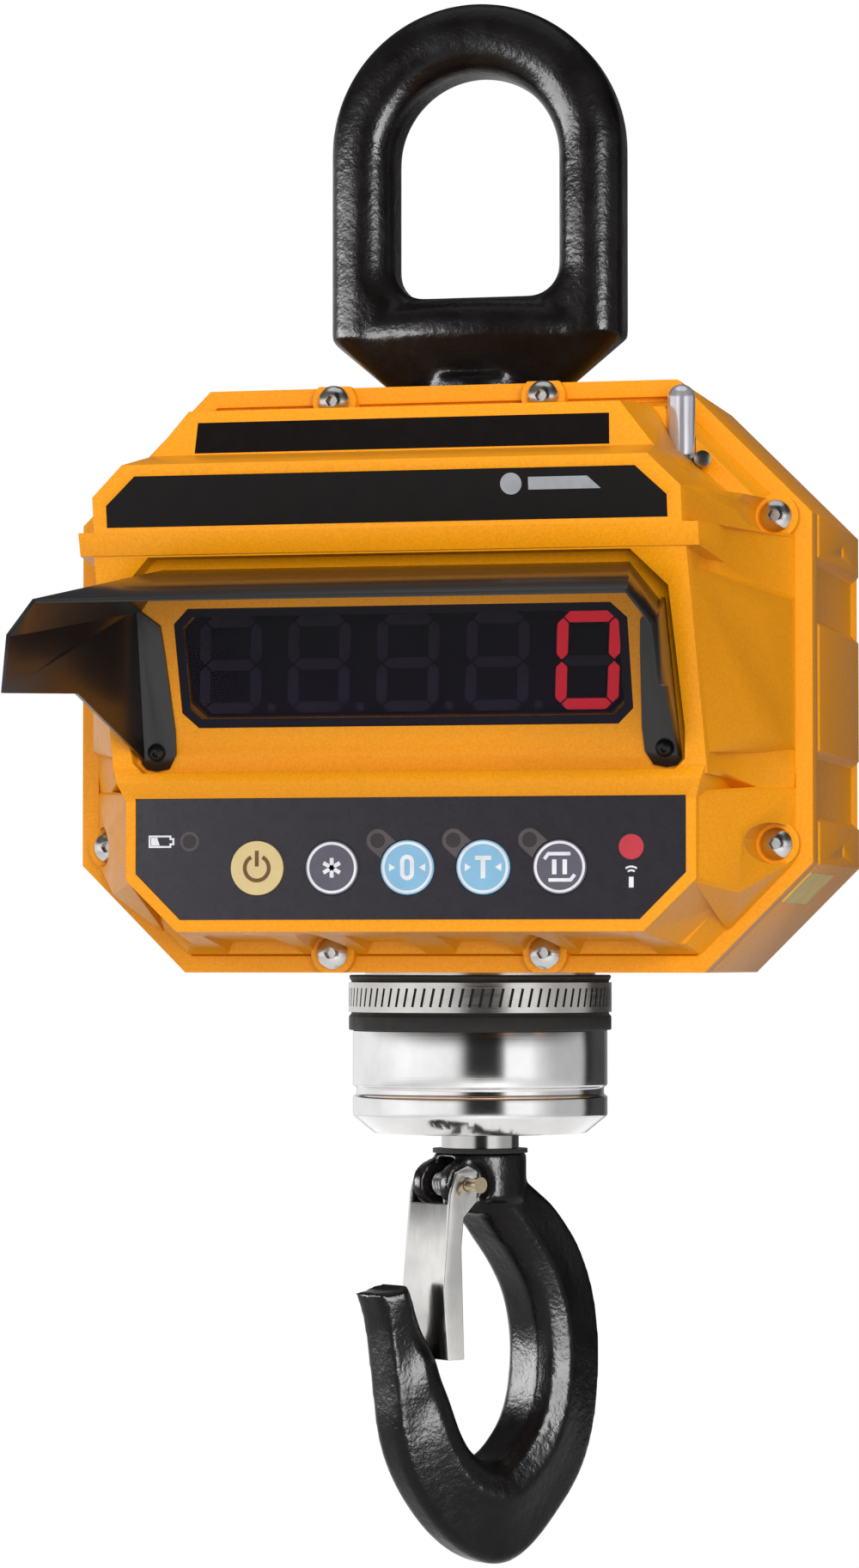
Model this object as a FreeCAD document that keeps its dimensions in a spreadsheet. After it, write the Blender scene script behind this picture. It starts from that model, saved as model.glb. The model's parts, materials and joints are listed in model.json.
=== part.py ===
"""Crane scale: a load ring above a die-cast indicator case, a swivel hook below.

The origin is the point inside the load ring where the crane's own hook bears. +Z is up,
-Y is the side with the display, and lengths are millimetres. Case heights are given from
the middle of the case, and "front" distances are measured from the load axis towards -Y.
"""
import FreeCAD, Part
import math
import os
from types import SimpleNamespace

import Sketcher
from FreeCAD import Placement, Rotation, Vector

DOC = FreeCAD.newDocument("crane_scale")
SHEET = DOC.addObject("Spreadsheet::Sheet", "Sizes")

SIZES = {
    # load ring
    "ring_inner_radius": 34, "ring_outer_radius": 59.5, "ring_opening": 90, "ring_thick": 36,
    "ring_corner": 12, "ring_shoulder": 107, "ring_foot": 127, "ring_rounding": 12.4,
    "ring_barrel": 26, "neck_radius": 22, "neck_bottom": 176, "lock_pin_radius": 5,
    "lock_pin_z": -162,
    # load cell
    "cell_half": 31, "cell_half_deep": 25, "cell_low": -345, "cell_high": -150,
    "flexure_z": -262, "flexure_high": 34, "gauge_thick": 1.2, "bracket_sheet": 5,
    # case outline
    "case_middle": -247, "case_half": 145, "case_up": 114, "case_down": 114,
    "top_cut": 52, "bottom_cut": 42, "flange_front": 66, "flange_back": 57, "rim_height": 4,
    "rim_width": 6.5, "rear_depth": 70, "rear_bevel": 12, "wall": 5, "seam": 1,
    "side_recess": 3, "room_back": 56, "deep_room_back": 64, "back_wall": 18,
    # front frame
    "foot_front": 128.5, "floor_front": 137.2, "floor_lean": 0.36, "plate": 1.2,
    # display
    "window_half": 87, "window_up": 24.5, "window_down": 22.6, "window_cut": 6,
    "digit_height": 38, "digit_width": 24, "digit_pitch": 34.4, "segment": 4.2, "digit_slant": 0.1,
    # keypad
    "keypad_half": 106.2, "keypad_top": -47.9, "keypad_low": -94, "keypad_cut": 17.5,
    "key_radius": 10.3, "key_pitch": 29.2, "key_row": -74.4, "key_rise": 0.5, "key_gap": 0.3,
    "lamp_radius": 2.6, "lamp_row": -64.2, "receiver_radius": 4.7,
    "key_thick": 2.2, "key_edge": 0.35, "board": 1.6,
    # hood
    "hood_sheet": 1.5, "hood_front": 254,
    # fasteners
    "screw_head": 6.2, "screw_head_high": 4.6, "screw_shank": 3, "screw_seat": 76,
    "side_screw_radius": 2.6, "side_screw_back": 12,
    # load train below the case
    "housing_radius": 51, "housing_top": -366, "housing_shoulder": -384, "housing_rim": -418,
    "housing_low": -425, "housing_foot": 42.5, "cavity_radius": 40, "shank_radius": 14,
    "neck_low": -431, "bush_radius": 15.5, "hook_neck": 18.5, "running_gap": 0.3,
    # hook and latch
    "hook_turn": 231.9, "latch_pin_out": 17, "latch_pin_z": -445, "latch_pin_radius": 2.5,
    "latch_half": 13, "latch_sheet": 1.5, "lug_half": 11,
    # battery pack
    "pack_half": 74, "pack_up": 38, "pack_drop": 17, "pack_deep": 36.4, "pack_axis": 51.6,
    "pack_shell": 2, "bay_gap": 1, "bay_sheet": 1.4, "cell_radius": 15.5, "cover_thick": 4,
    "cover_gap": 1.2, "knob_radius": 11, "knob_out": 88.14,
}

for row, (alias, value) in enumerate(SIZES.items(), start=1):
    SHEET.set(f"A{row}", alias)
    SHEET.set(f"B{row}", str(value))
    SHEET.setAlias(f"B{row}", alias)
DOC.recompute()


class Size:
    """A length that carries both its value and the sheet expression it comes from."""

    def __init__(self, value, text):
        self.value = float(value)
        self.text = text

    def __float__(self):
        return self.value

    def __neg__(self):
        return Size(-self.value, f"(0 - {self.text})")

    def __add__(self, other):
        other = as_size(other)
        return Size(self.value + other.value, f"({self.text} + {other.text})")

    def __radd__(self, other):
        return as_size(other) + self

    def __sub__(self, other):
        other = as_size(other)
        return Size(self.value - other.value, f"({self.text} - {other.text})")

    def __rsub__(self, other):
        return as_size(other) - self

    def __mul__(self, other):
        other = as_size(other)
        return Size(self.value * other.value, f"({self.text} * {other.text})")

    def __rmul__(self, other):
        return as_size(other) * self


def as_size(value):
    """Wraps a plain number, so that it can stand wherever a Size can."""
    if isinstance(value, Size):
        return value
    text = f"{abs(value):.6f}"
    return Size(value, text if value >= 0 else f"(0 - {text})")


S = SimpleNamespace(**{alias: Size(value, f"Sizes.{alias}") for alias, value in SIZES.items()})
MID = S.case_middle
PACK_MID = MID - S.pack_drop
NODES = {}


# ---------------------------------------------------------------- general helpers

def bind(thing, path, size):
    thing.setExpression(path, as_size(size).text)


def keep(thing, label):
    """Names a finished sub-part and lists it for export."""
    thing.Label = label
    NODES[label] = thing
    return thing


def new_body(name):
    return DOC.addObject("PartDesign::Body", name)


def arc_between(start, end, radius):
    """An arc from start to end; a positive radius bulges to the left of the way there."""
    chord = end - start
    middle = (start + end) * 0.5
    left = Vector(-chord.y, chord.x, 0).normalize()
    reach = math.sqrt(max(radius ** 2 - (chord.Length / 2) ** 2, 0))
    sign = math.copysign(1, radius)
    crown = middle + left * sign * (abs(radius) - reach)
    return Part.Arc(start, crown, end)


def draw_loop(sketch, corners):
    """Draws a closed outline; a corner is (x, y), or (x, y, radius) where an arc leaves it."""
    first = sketch.GeometryCount
    count = len(corners)
    starts = []
    for index, corner in enumerate(corners):
        following = corners[(index + 1) % count]
        start = Vector(float(corner[0]), float(corner[1]), 0)
        end = Vector(float(following[0]), float(following[1]), 0)
        if len(corner) == 3:
            piece = sketch.addGeometry(arc_between(start, end, float(corner[2])))
            half_turn = abs((end - start).Length - 2 * abs(float(corner[2]))) < 1e-6
            if half_turn:
                # a half circle's centre lies level with its ends, which also fixes its radius
                limit = Sketcher.Constraint("DistanceY", -1, 1, piece, 3, float(corner[1]))
                size = corner[1]
            else:
                limit = Sketcher.Constraint("Radius", piece, abs(float(corner[2])))
                size = corner[2] if float(corner[2]) > 0 else -corner[2]
            sketch.addConstraint(limit)
            bind(sketch, f"Constraints[{sketch.ConstraintCount - 1}]", size)
        else:
            piece = sketch.addGeometry(Part.LineSegment(start, end))
        at_start = (sketch.getPoint(piece, 1) - start).Length < 1e-6
        starts.append((1, 2) if at_start else (2, 1))
    for index, corner in enumerate(corners):
        piece = first + index
        following = first + (index + 1) % count
        begin, finish = starts[index]
        sketch.addConstraint(Sketcher.Constraint("Coincident", piece, finish, following,
                                                 starts[(index + 1) % count][0]))
        for kind, size in (("DistanceX", corner[0]), ("DistanceY", corner[1])):
            sketch.addConstraint(Sketcher.Constraint(kind, -1, 1, piece, begin, float(size)))
            bind(sketch, f"Constraints[{sketch.ConstraintCount - 1}]", size)


def draw_circle(sketch, x, y, radius):
    piece = sketch.addGeometry(Part.Circle(Vector(float(x), float(y), 0), Vector(0, 0, 1),
                                           float(radius)))
    sketch.addConstraint(Sketcher.Constraint("Radius", piece, float(radius)))
    bind(sketch, f"Constraints[{sketch.ConstraintCount - 1}]", radius)
    for kind, size in (("DistanceX", x), ("DistanceY", y)):
        sketch.addConstraint(Sketcher.Constraint(kind, -1, 1, piece, 3, float(size)))
        bind(sketch, f"Constraints[{sketch.ConstraintCount - 1}]", size)


def new_sketch(body, role, loops, circles=(), offset=0):
    sketch = body.newObject("Sketcher::SketchObject", "Sketch")
    plane = next(item for item in body.Origin.OriginFeatures if item.Role == role)
    sketch.AttachmentSupport = [(plane, "")]
    sketch.MapMode = "FlatFace"
    bind(sketch, "AttachmentOffset.Base.z", offset)
    for corners in loops:
        draw_loop(sketch, corners)
    for circle in circles:
        draw_circle(sketch, *circle)
    return sketch


def add_pad(body, sketch, length):
    pad = body.newObject("PartDesign::Pad", "Pad")
    pad.Profile = sketch
    bind(pad, "Length", length)
    return pad


def slab(body, loops, front, back, circles=()):
    """Pads an X-Z outline between two distances in front of the load axis."""
    sketch = new_sketch(body, "XZ_Plane", loops, circles, back)
    return add_pad(body, sketch, front - back)


def plate_body(label, loops, front, back, circles=()):
    body = new_body(label)
    slab(body, loops, front, back, circles)
    return keep(body, label)


def level_body(label, loops, low, high, circles=()):
    """Pads an X-Y outline between two heights."""
    body = new_body(label)
    add_pad(body, new_sketch(body, "XY_Plane", loops, circles, low), high - low)
    return keep(body, label)


def turned_body(label, profile):
    """Revolves an outline of (radius, z) corners about the load axis."""
    body = new_body(label)
    sketch = new_sketch(body, "XZ_Plane", [profile])
    turn = body.newObject("PartDesign::Revolution", "Revolution")
    turn.Profile = sketch
    turn.ReferenceAxis = (sketch, ["V_Axis"])
    turn.Angle = 360
    return keep(body, label)


def place(thing, x, y, z, rotation=Rotation()):
    thing.Placement = Placement(Vector(float(x), float(y), float(z)), rotation)
    for path, size in (("x", x), ("y", y), ("z", z)):
        bind(thing, f"Placement.Base.{path}", size)
    return thing


FORWARD = Rotation(Vector(0, 0, 1), Vector(0, -1, 0))
BACKWARD = Rotation(Vector(0, 0, 1), Vector(0, 1, 0))
SIDEWAYS = Rotation(Vector(0, 0, 1), Vector(1, 0, 0))


def cylinder(name, radius, length, x, y, z, rotation=Rotation()):
    rod = DOC.addObject("Part::Cylinder", name)
    bind(rod, "Radius", radius)
    bind(rod, "Height", length)
    return place(rod, x, y, z, rotation)


def block(name, wide, deep, high, x, y, z):
    """A box centred on x and y that stands on z."""
    box = DOC.addObject("Part::Box", name)
    bind(box, "Length", wide)
    bind(box, "Width", deep)
    bind(box, "Height", high)
    return place(box, as_size(x) - as_size(wide) * 0.5, as_size(y) - as_size(deep) * 0.5, z)


def join(label, things):
    fused = DOC.addObject("Part::MultiFuse", label)
    fused.Shapes = things
    fused.Refine = True
    return keep(fused, label)


def group(label, things):
    """Several loose pieces of one kind in one sub-part."""
    together = DOC.addObject("Part::Compound", label)
    together.Links = things
    return keep(together, label)


def cut(label, base, tools):
    """Cuts tools out of base; base stays in the document as the blank."""
    tool = tools[0]
    if len(tools) > 1:
        tool = DOC.addObject("Part::MultiFuse", f"{label}_tools")
        tool.Shapes = tools
    result = DOC.addObject("Part::Cut", label)
    result.Base = base
    result.Tool = tool
    if base.Label == label:
        base.Label = f"{label}_blank"
    return keep(result, label)


def shaped(label, shape):
    """A sub-part whose shape no primitive or sketch gives."""
    feature = DOC.addObject("Part::Feature", label)
    feature.Shape = shape
    return keep(feature, label)


def hexagon(across, x=0, y=0):
    """Corners of a hexagon that measures across over its flats."""
    radius = as_size(across) * (1 / math.sqrt(3))
    return [(radius * math.cos(math.radians(60 * step)) + x,
             radius * math.sin(math.radians(60 * step)) + y) for step in range(6)]


# ---------------------------------------------------------------- faceted solids

def corner(x, front, z):
    """A point of the case: front of the load axis, and above the case's middle."""
    return Vector(float(x), -float(front), float(MID) + float(z))


def both(points):
    """The points and their mirror images across the Y-Z plane."""
    return points + [Vector(-point.x, point.y, point.z) for point in points]


def hull(points):
    """The convex solid with flat faces through the outermost points."""
    faces = {}
    count = len(points)
    for first in range(count):
        for second in range(first + 1, count):
            for third in range(second + 1, count):
                normal = (points[second] - points[first]).cross(points[third] - points[first])
                if normal.Length < 1e-6:
                    continue
                normal.normalize()
                level = normal.dot(points[first])
                sides = [normal.dot(point) - level for point in points]
                if max(sides) > 1e-5 and min(sides) < -1e-5:
                    continue
                if max(sides) > 1e-5:
                    normal = normal * -1
                on_face = frozenset(i for i in range(count) if abs(sides[i]) < 1e-5)
                faces[on_face] = normal
    shells = []
    for on_face, normal in faces.items():
        middle = Vector()
        for index in on_face:
            middle = middle + points[index]
        middle = middle * (1 / len(on_face))
        along = (points[min(on_face)] - middle).normalize()
        across = normal.cross(along)
        ring = sorted((points[index] for index in on_face),
                      key=lambda point: math.atan2((point - middle).dot(across),
                                                   (point - middle).dot(along)))
        ring = drop_straight(ring)
        shells.append(Part.Face(Part.makePolygon(ring + [ring[0]])))
    solid = Part.Solid(Part.Shell(shells))
    if solid.Volume < 0:
        solid.reverse()
    return solid


def drop_straight(ring):
    """Leaves out the points of a closed ring that lie on a straight side."""
    count = len(ring)
    kept = []
    for index, point in enumerate(ring):
        before = point - ring[index - 1]
        after = ring[(index + 1) % count] - point
        if before.cross(after).Length > 1e-6:
            kept.append(point)
    return kept


def fused(shapes):
    return shapes[0].multiFuse(shapes[1:]).removeSplitter()


def octagon(half, up, down, upper_cut, lower_cut):
    """The case's outline: a rectangle with four corners cut at 45 degrees."""
    return [(-(half - upper_cut), up), (half - upper_cut, up), (half, up - upper_cut),
            (half, lower_cut - down), (half - lower_cut, -down), (-(half - lower_cut), -down),
            (-half, lower_cut - down), (-half, up - upper_cut)]


def raised(corners):
    """The same outline, lifted from the case's middle to its place in the model."""
    return [(x, z + MID) for x, z in corners]


def grown(by):
    """The case's outline moved outwards (or inwards) all round by one distance."""
    diagonal = (2 - math.sqrt(2)) * by
    return octagon(S.case_half + by, S.case_up + by, S.case_down + by,
                   S.top_cut + diagonal, S.bottom_cut + diagonal)


def prism(corners, front, back):
    """A straight solid on an X-Z outline given from the case's middle."""
    ring = [corner(x, back, z) for x, z in corners]
    face = Part.Face(Part.makePolygon(ring + [ring[0]]))
    return face.extrude(Vector(0, -(float(front) - float(back)), 0))


def leaning(shape, front, lean):
    """Turns a solid drawn at front 0 and z 0 of the case onto a leaning plane."""
    angle = math.degrees(math.atan(float(lean)))
    shape = shape.copy()
    shape.translate(Vector(0, 0, -float(MID)))
    shape.rotate(Vector(), Vector(1, 0, 0), angle)
    shape.translate(Vector(0, -float(front), float(MID)))
    return shape


LEAN_ANGLE = math.degrees(math.atan(float(S.floor_lean)))
TILT = Rotation(Vector(1, 0, 0), LEAN_ANGLE)


def tilted(thing):
    """Moves an object drawn at front 0, case height 0 onto the display's leaning plane."""
    return place(thing, 0, -S.floor_front, MID, TILT)


def floor_front(z):
    """How far in front of the load axis the display recess's floor lies at a height."""
    return float(S.floor_front) + float(S.floor_lean) * float(z)


FLANGE_SCREWS = [(-41.5, 108), (41.5, 108), (-42, -106.5), (42, -106.5),
                 (-132, 60), (132, 60), (-132, -65), (132, -65)]
SIDE_SCREWS = [53, -66]


# ---------------------------------------------------------------- load ring and load cell

RING_SECTION = [(SIZES["ring_outer_radius"], 5), (57, 11.5), (50, 16.5), (42, 18.2)]
RING_BARREL = [(-90.3, 0.5, 0.3), (-91.2, 0.6, 0.5), (-93, 0.75, 0.76), (-96.5, 0.9, 0.92),
               (-101, 0.99, 0.99), (-107, 1, 1)]
RING_SHOULDER = [(-107, 1, 1), (-127, 0.605, 0.56)]


def ring_section(z, wide, deep):
    """The ring's outline seen from above, with a barrelled front and back."""
    side = [Vector(x * wide, y * deep, z) for x, y in RING_SECTION]
    crown = Vector(0, float(S.ring_barrel) * deep, z)
    quarter = [Vector(-point.x, point.y, z) for point in reversed(side)]
    upper = side + quarter
    lower = [Vector(-point.x, -point.y, z) for point in upper]
    ends = upper + lower + [upper[0]]
    edges = []
    for index, (start, end) in enumerate(zip(ends, ends[1:])):
        if index == len(side) - 1:
            edges.append(Part.Arc(start, crown, end).toShape())
        elif index == len(upper) + len(side) - 1:
            edges.append(Part.Arc(start, Vector(0, -crown.y, z), end).toShape())
        else:
            edges.append(Part.makeLine(start, end))
    return Part.Wire(edges)


def load_ring():
    """The forged ring: a round-topped eye, a barrelled crossbar, shoulders and a neck."""
    side = S.ring_outer_radius
    crown = 3 - S.ring_inner_radius
    outer = [(-side, crown, side), (side, crown), (side, -S.ring_shoulder),
             (-side, -S.ring_shoulder)]
    low = -S.ring_opening
    inner = S.ring_inner_radius
    bend = S.ring_corner
    opening = [(-inner, -inner, inner), (inner, -inner), (inner, low + bend, bend),
               (inner - bend, low), (bend - inner, low, bend), (-inner, low + bend)]
    body = new_body("crane_eye")
    half = S.ring_thick * 0.5
    pad = slab(body, [outer, opening], half, -half)
    DOC.recompute()
    foot = -float(S.ring_shoulder) + 0.01
    rims = [f"Edge{index}" for index, edge in enumerate(pad.Shape.Edges, start=1)
            if abs(edge.BoundBox.YLength) < 0.01 and edge.BoundBox.ZMax > foot]
    rounding = body.newObject("PartDesign::Fillet", "Rounding")
    rounding.Base = (pad, rims)
    bind(rounding, "Radius", S.ring_rounding)
    body.Tip = rounding
    body.Label = "crane_eye_ring"
    neck = cylinder("crane_eye_neck", S.neck_radius, S.neck_bottom - S.ring_foot + 4,
                    0, 0, -S.neck_bottom)
    pieces = [body, neck]
    for label, sections in (("crane_eye_barrel", RING_BARREL),
                            ("crane_eye_shoulder", RING_SHOULDER)):
        wires = [ring_section(*section) for section in sections]
        pieces.append(shaped(label, Part.makeLoft(wires, True, True)))
        NODES.pop(label)
    joined = join("crane_eye_solid", pieces)
    NODES.pop("crane_eye_solid")
    return cut("crane_eye", joined, [lock_pin_bore("crane_eye_pin_bore")])


def lock_pin_bore(name):
    """The cross hole that the ring's neck and the load cell share."""
    return cylinder(name, S.lock_pin_radius, 120, 0, -60, S.lock_pin_z, BACKWARD)


def load_cell():
    """A steel shear block with a waist window, threaded for the ring and the housing."""
    half, deep, low = S.cell_half, S.cell_half_deep, S.cell_low
    body = level_body("load_cell", [[(-half, -deep), (half, -deep), (half, deep), (-half, deep)]],
                      low, S.cell_high)
    ring_hole = cylinder("ring_thread", S.neck_radius, 26.5, 0, 0, -S.neck_bottom)
    stem_hole = cylinder("stem_thread", 16, 35, 0, 0, low - 1)
    window = block("waist_window", 36, 60, 60, 0, 0, -275)
    slots = [block("flexure_slot", 8, 60, S.flexure_high, half * side, 0, S.flexure_z)
             for side in (-1, 1)]
    pin_hole = lock_pin_bore("cell_pin_bore")
    return cut("load_cell", body, [ring_hole, stem_hole, window, *slots, pin_hole])


def load_train_inside():
    keep(cylinder("ring_lock_pin", S.lock_pin_radius, S.cell_half_deep * 2, 0,
                  -S.cell_half_deep, S.lock_pin_z, BACKWARD), "ring_lock_pin")
    keep(block("strain_gauges", 34, S.gauge_thick, 30, 0,
               -(S.cell_half_deep + S.gauge_thick * 0.5), S.flexure_z), "strain_gauges")
    turned_body("top_seal", [(S.neck_radius, -133), (34, -133), (31, -128.5),
                             (S.neck_radius, -128.5)])
    brackets = []
    for side in (-1, 1):
        foot = block("bracket_foot", S.bracket_sheet, 44, 60,
                     (S.cell_half + S.bracket_sheet * 0.5) * side, 0, -330)
        arm = block("bracket_arm", 98, 30, S.bracket_sheet, side * 85, 0, -300)
        pad = block("bracket_pad", 6, 44, 37, side * 137, 0, -312)
        bracket = DOC.addObject("Part::MultiFuse", "bracket")
        bracket.Shapes = [foot, arm, pad]
        brackets.append(bracket)
    group("cell_brackets", brackets)


# ---------------------------------------------------------------- case

def front_frame_blocks():
    """The solid steps, ramps and pads that stand out of the front cover's flange."""
    root = S.flange_front
    skirt = hull(both([corner(*point) for point in (
        (93, root, 106), (138, root, 62), (138, root, -74), (103, root, -108),
        (90, 84, 102), (128, 84, 64), (128, 84, -70), (98, 84, -103))]))
    foot = hull(both([corner(*point) for point in (
        (110, 128.5, -40), (110, 128.5, -79), (90, 128.5, -98.5),
        (121, root, -32), (121, root, -84), (97, root, -106))]))
    band = hull(both([corner(*point) for point in (
        (117.5, 167, 50.5), (117.5, 164, 42), (112, 130, 52), (112, 130, 38),
        (124, root, 56), (124, root, 34))]))
    middle = hull(both([corner(*point) for point in (
        (112.5, 163, 41.5), (114.5, 129.5, -38), (114.5, 129.5, -40), (112.5, 163, 48),
        (122, root, 46), (122, root, -42))]))
    ridge = hull(both([corner(*point) for point in (
        (110, 128.5, -49), (112.5, 133, -42), (114, 131.5, -37), (120, root, -36),
        (118, root, -52))]))
    panel = hull(both([corner(*point) for point in (
        (111.5, 166.5, 50), (111.5, 169, 63.5), (99.5, 171, 75.2), (96, 141, 81.5),
        (124, root, 50), (122, root, 64), (97, root, 86))]))
    label = hull(both([corner(*point) for point in (
        (97, 141.5, 78), (96.5, 140.6, 81.5), (83, 137, 98.6), (99, root, 80),
        (86, root, 104.5))]))
    blocks = [skirt, foot, band, middle, ridge, panel, label]
    edge, lip = float(S.case_half - S.rim_width), float(S.flange_front + S.rim_height)
    for side in (-1, 1):
        margin = hull([corner(side * x, front, z) for x, front, z in (
            (112, 148, 60), (112.5, 122, -36), (edge, lip, 60), (edge, lip, -36),
            (105, root, 64), (105, root, -52), (edge, root, 64), (edge, root, -50))])
        plateau = hull([corner(side * x, front, z) for x, front, z in (
            (111.7, 158, 35), (114.7, 128, -32), (129.7, 106, 21.5), (129.7, 102, -24),
            (edge, lip + 8, 27.6), (edge, lip + 8, -27.5), (105, root, 38), (105, root, -35),
            (edge, root, 30), (edge, root, -30))])
        arm = hull([corner(side * x, front, z) for x, front, z in (
            (111, 166, 64), (111, 164, 51.7), (124, 92, 65.6), (124, 92, 54),
            (edge, lip, 66), (edge, lip, 52), (104, root, 70), (104, root, 46))])
        shoulder = hull([corner(side * x, front, z) for x, front, z in (
            (109, 127.5, -46.3), (109, 127.5, -80), (123.2, 108, -59.2), (122.1, 104, -84.1),
            (edge, lip, -44), (edge, lip, -71), (112, root, -99), (106, root, -44),
            (edge, root, -42), (edge, root, -72))])
        blocks += [margin, plateau, arm, shoulder]
    for x, z in FLANGE_SCREWS:
        blocks.append(Part.makeCylinder(8.6, float(S.screw_seat - root), corner(x, root, z),
                                        Vector(0, -1, 0)))
    return blocks


def front_pockets():
    """Everything that is cut out of the front cover's solid blocks."""
    hood_pocket = [(-91.5, 41.2), (91.5, 41.2), (104.8, 28), (107.2, -23.5), (106.4, -34.6),
                   (102.6, -38.4), (-102.6, -38.4), (-106.4, -34.6), (-107.2, -23.5),
                   (-104.8, 28)]
    cutters = [hull([corner(x, 200, z) for x, z in hood_pocket]
                    + [corner(x, floor_front(z), z) for x, z in hood_pocket])]
    for x, z in FLANGE_SCREWS:
        cutters.append(Part.makeCylinder(7.8, 80, corner(x, S.screw_seat, z), Vector(0, -1, 0)))
        cutters.append(Part.makeCylinder(float(S.screw_shank), 40, corner(x, 50, z),
                                         Vector(0, -1, 0)))
    for left, right in ((-88, -52), (-32, -3), (3, 32), (52, 88)):
        cutters.append(hull([corner(x, front, z) for x, front, z in (
            (left, 90, -112), (right, 90, -112), (left, 118, -112), (right, 118, -112),
            (left + 5, 116, -99.5), (right - 5, 116, -99.5), (left + 5, 72, -102),
            (right - 5, 72, -102), (left, 70, -112), (right, 70, -112))]))
    hollow = [(-104, 46), (104, 46), (104, -36), (92, -42), (92, -76), (80, -88), (-80, -88),
              (-92, -76), (-92, -42), (-104, -36)]
    cutters.append(prism(hollow, 112, 50))
    cutters.append(prism([(-95, 30), (95, 30), (95, -30), (-95, -30)], 116, 50))
    cutters.append(prism([(-96, 62), (96, 62), (96, 44), (-96, 44)], 150, 50))
    cutters.append(prism([(-82, 90), (82, 90), (100, 60), (-100, 60)], 125, 50))
    cutters.append(prism([(-94, -52), (94, -52), (94, -80), (80, -90), (-80, -90), (-94, -80)],
                         S.foot_front, 100))
    return cutters


def window_outline(grow=0.0):
    half, cut_by = S.window_half + grow, S.window_cut
    up, down = S.window_up + grow, S.window_down + grow
    return [(-half + cut_by, up), (half - cut_by, up), (half, up - cut_by), (half, -down + cut_by),
            (half - cut_by, -down), (-half + cut_by, -down), (-half, -down + cut_by),
            (-half, up - cut_by)]


def keypad_outline():
    half, cut_by = S.keypad_half, S.keypad_cut
    return [(-half, S.keypad_top), (half, S.keypad_top), (half, S.keypad_low + cut_by),
            (half - cut_by, S.keypad_low), (-half + cut_by, S.keypad_low),
            (-half, S.keypad_low + cut_by)]


KEY_NAMES = ["power", "function", "zero", "tare", "hold"]
KEYS = {name: (index - 2) * S.key_pitch for index, name in enumerate(KEY_NAMES)}
LAMPS = [S.key_pitch * step - 11.5 for step in (0, 1, 2)] + [as_size(-84.9)]
RECEIVER = (85.5, -67.0)
KEYPAD_BACK = 127.0


def panel_plate(corners, base, lean, thick):
    """A thin plate on a leaning front face, drawn by its X-Z outline."""
    ring = [corner(x, base + lean * z, z) for x, z in corners]
    face = Part.Face(Part.makePolygon(ring + [ring[0]]))
    normal = Vector(0, -1, -lean).normalize()
    return face.extrude(normal * float(thick))


PANEL_LEAN = 0.16
PANEL_SEAT = 157.4
PANEL_OUTLINE = [(-94.8, 71.2), (94.8, 71.2), (106.3, 60.5), (106.3, 52.4), (-106.3, 52.4),
                 (-106.3, 60.5)]
STRIP_LEAN = -0.21
STRIP_SEAT = 156.4
STRIP_OUTLINE = [(-79.2, 93.8), (79.2, 93.8), (79.8, 81.9), (-79.8, 81.9)]
MARK_SEAT = 158.65
MARK_THICK = 0.25
TAG_MARK = [(55, 67.6), (77, 67.6), (82, 63), (55, 63)]
ROUND_MARK = (48.5, 65.3)
ROUND_MARK_RADIUS = 4
TUBE = Vector(97, -84, float(MID) + 83)
TUBE_RADIUS = 5.3
TUBE_HIGH = 22
FITTING_RADIUS = TUBE_RADIUS + 0.2
FITTING_DEPTH = 5
FITTING_BOLT = Vector(7.5, 2, -2)
HOOD_SCREW_X = 98.1
HOOD_SCREW_Z = -29.9
HOOD_SCREW_SHANK = 1.8
HOOD_LIFT = 0.02


def hood_screw_line(side, ahead):
    """A point on a hood screw's axis, and the way the screw points out of the case."""
    lean = float(S.floor_lean)
    start = corner(side * HOOD_SCREW_X, floor_front(HOOD_SCREW_Z), HOOD_SCREW_Z)
    out = Vector(0, -1, -lean).normalize()
    return start + out * ahead, out


def hood_screw_hole(side, radius):
    end, out = hood_screw_line(side, 8)
    return Part.makeCylinder(radius, 20, end, out * -1)


def tube_fitting():
    """The receiver tube's base and the small bolt that holds it."""
    base = Part.makeCylinder(FITTING_RADIUS, FITTING_DEPTH, TUBE - Vector(0, 0, FITTING_DEPTH))
    bolt = Part.makeCylinder(3.2, 9, TUBE + FITTING_BOLT, Vector(0.2, -1, 0))
    return base.fuse(bolt).removeSplitter()


def plates():
    """The two blank plates on the cover and the raised marks on the upper one."""
    shaped("brand_strip", panel_plate(STRIP_OUTLINE, STRIP_SEAT, STRIP_LEAN, S.plate))
    shaped("upper_panel", panel_plate(PANEL_OUTLINE, PANEL_SEAT, PANEL_LEAN, S.plate))
    tag_mark = panel_plate(TAG_MARK, MARK_SEAT, PANEL_LEAN, MARK_THICK)
    x, z = ROUND_MARK
    centre = corner(x, MARK_SEAT + PANEL_LEAN * z, z)
    round_mark = Part.makeCylinder(ROUND_MARK_RADIUS, MARK_THICK, centre,
                                   Vector(0, -1, -PANEL_LEAN))
    shaped("panel_marks", Part.makeCompound([tag_mark, round_mark]))


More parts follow.
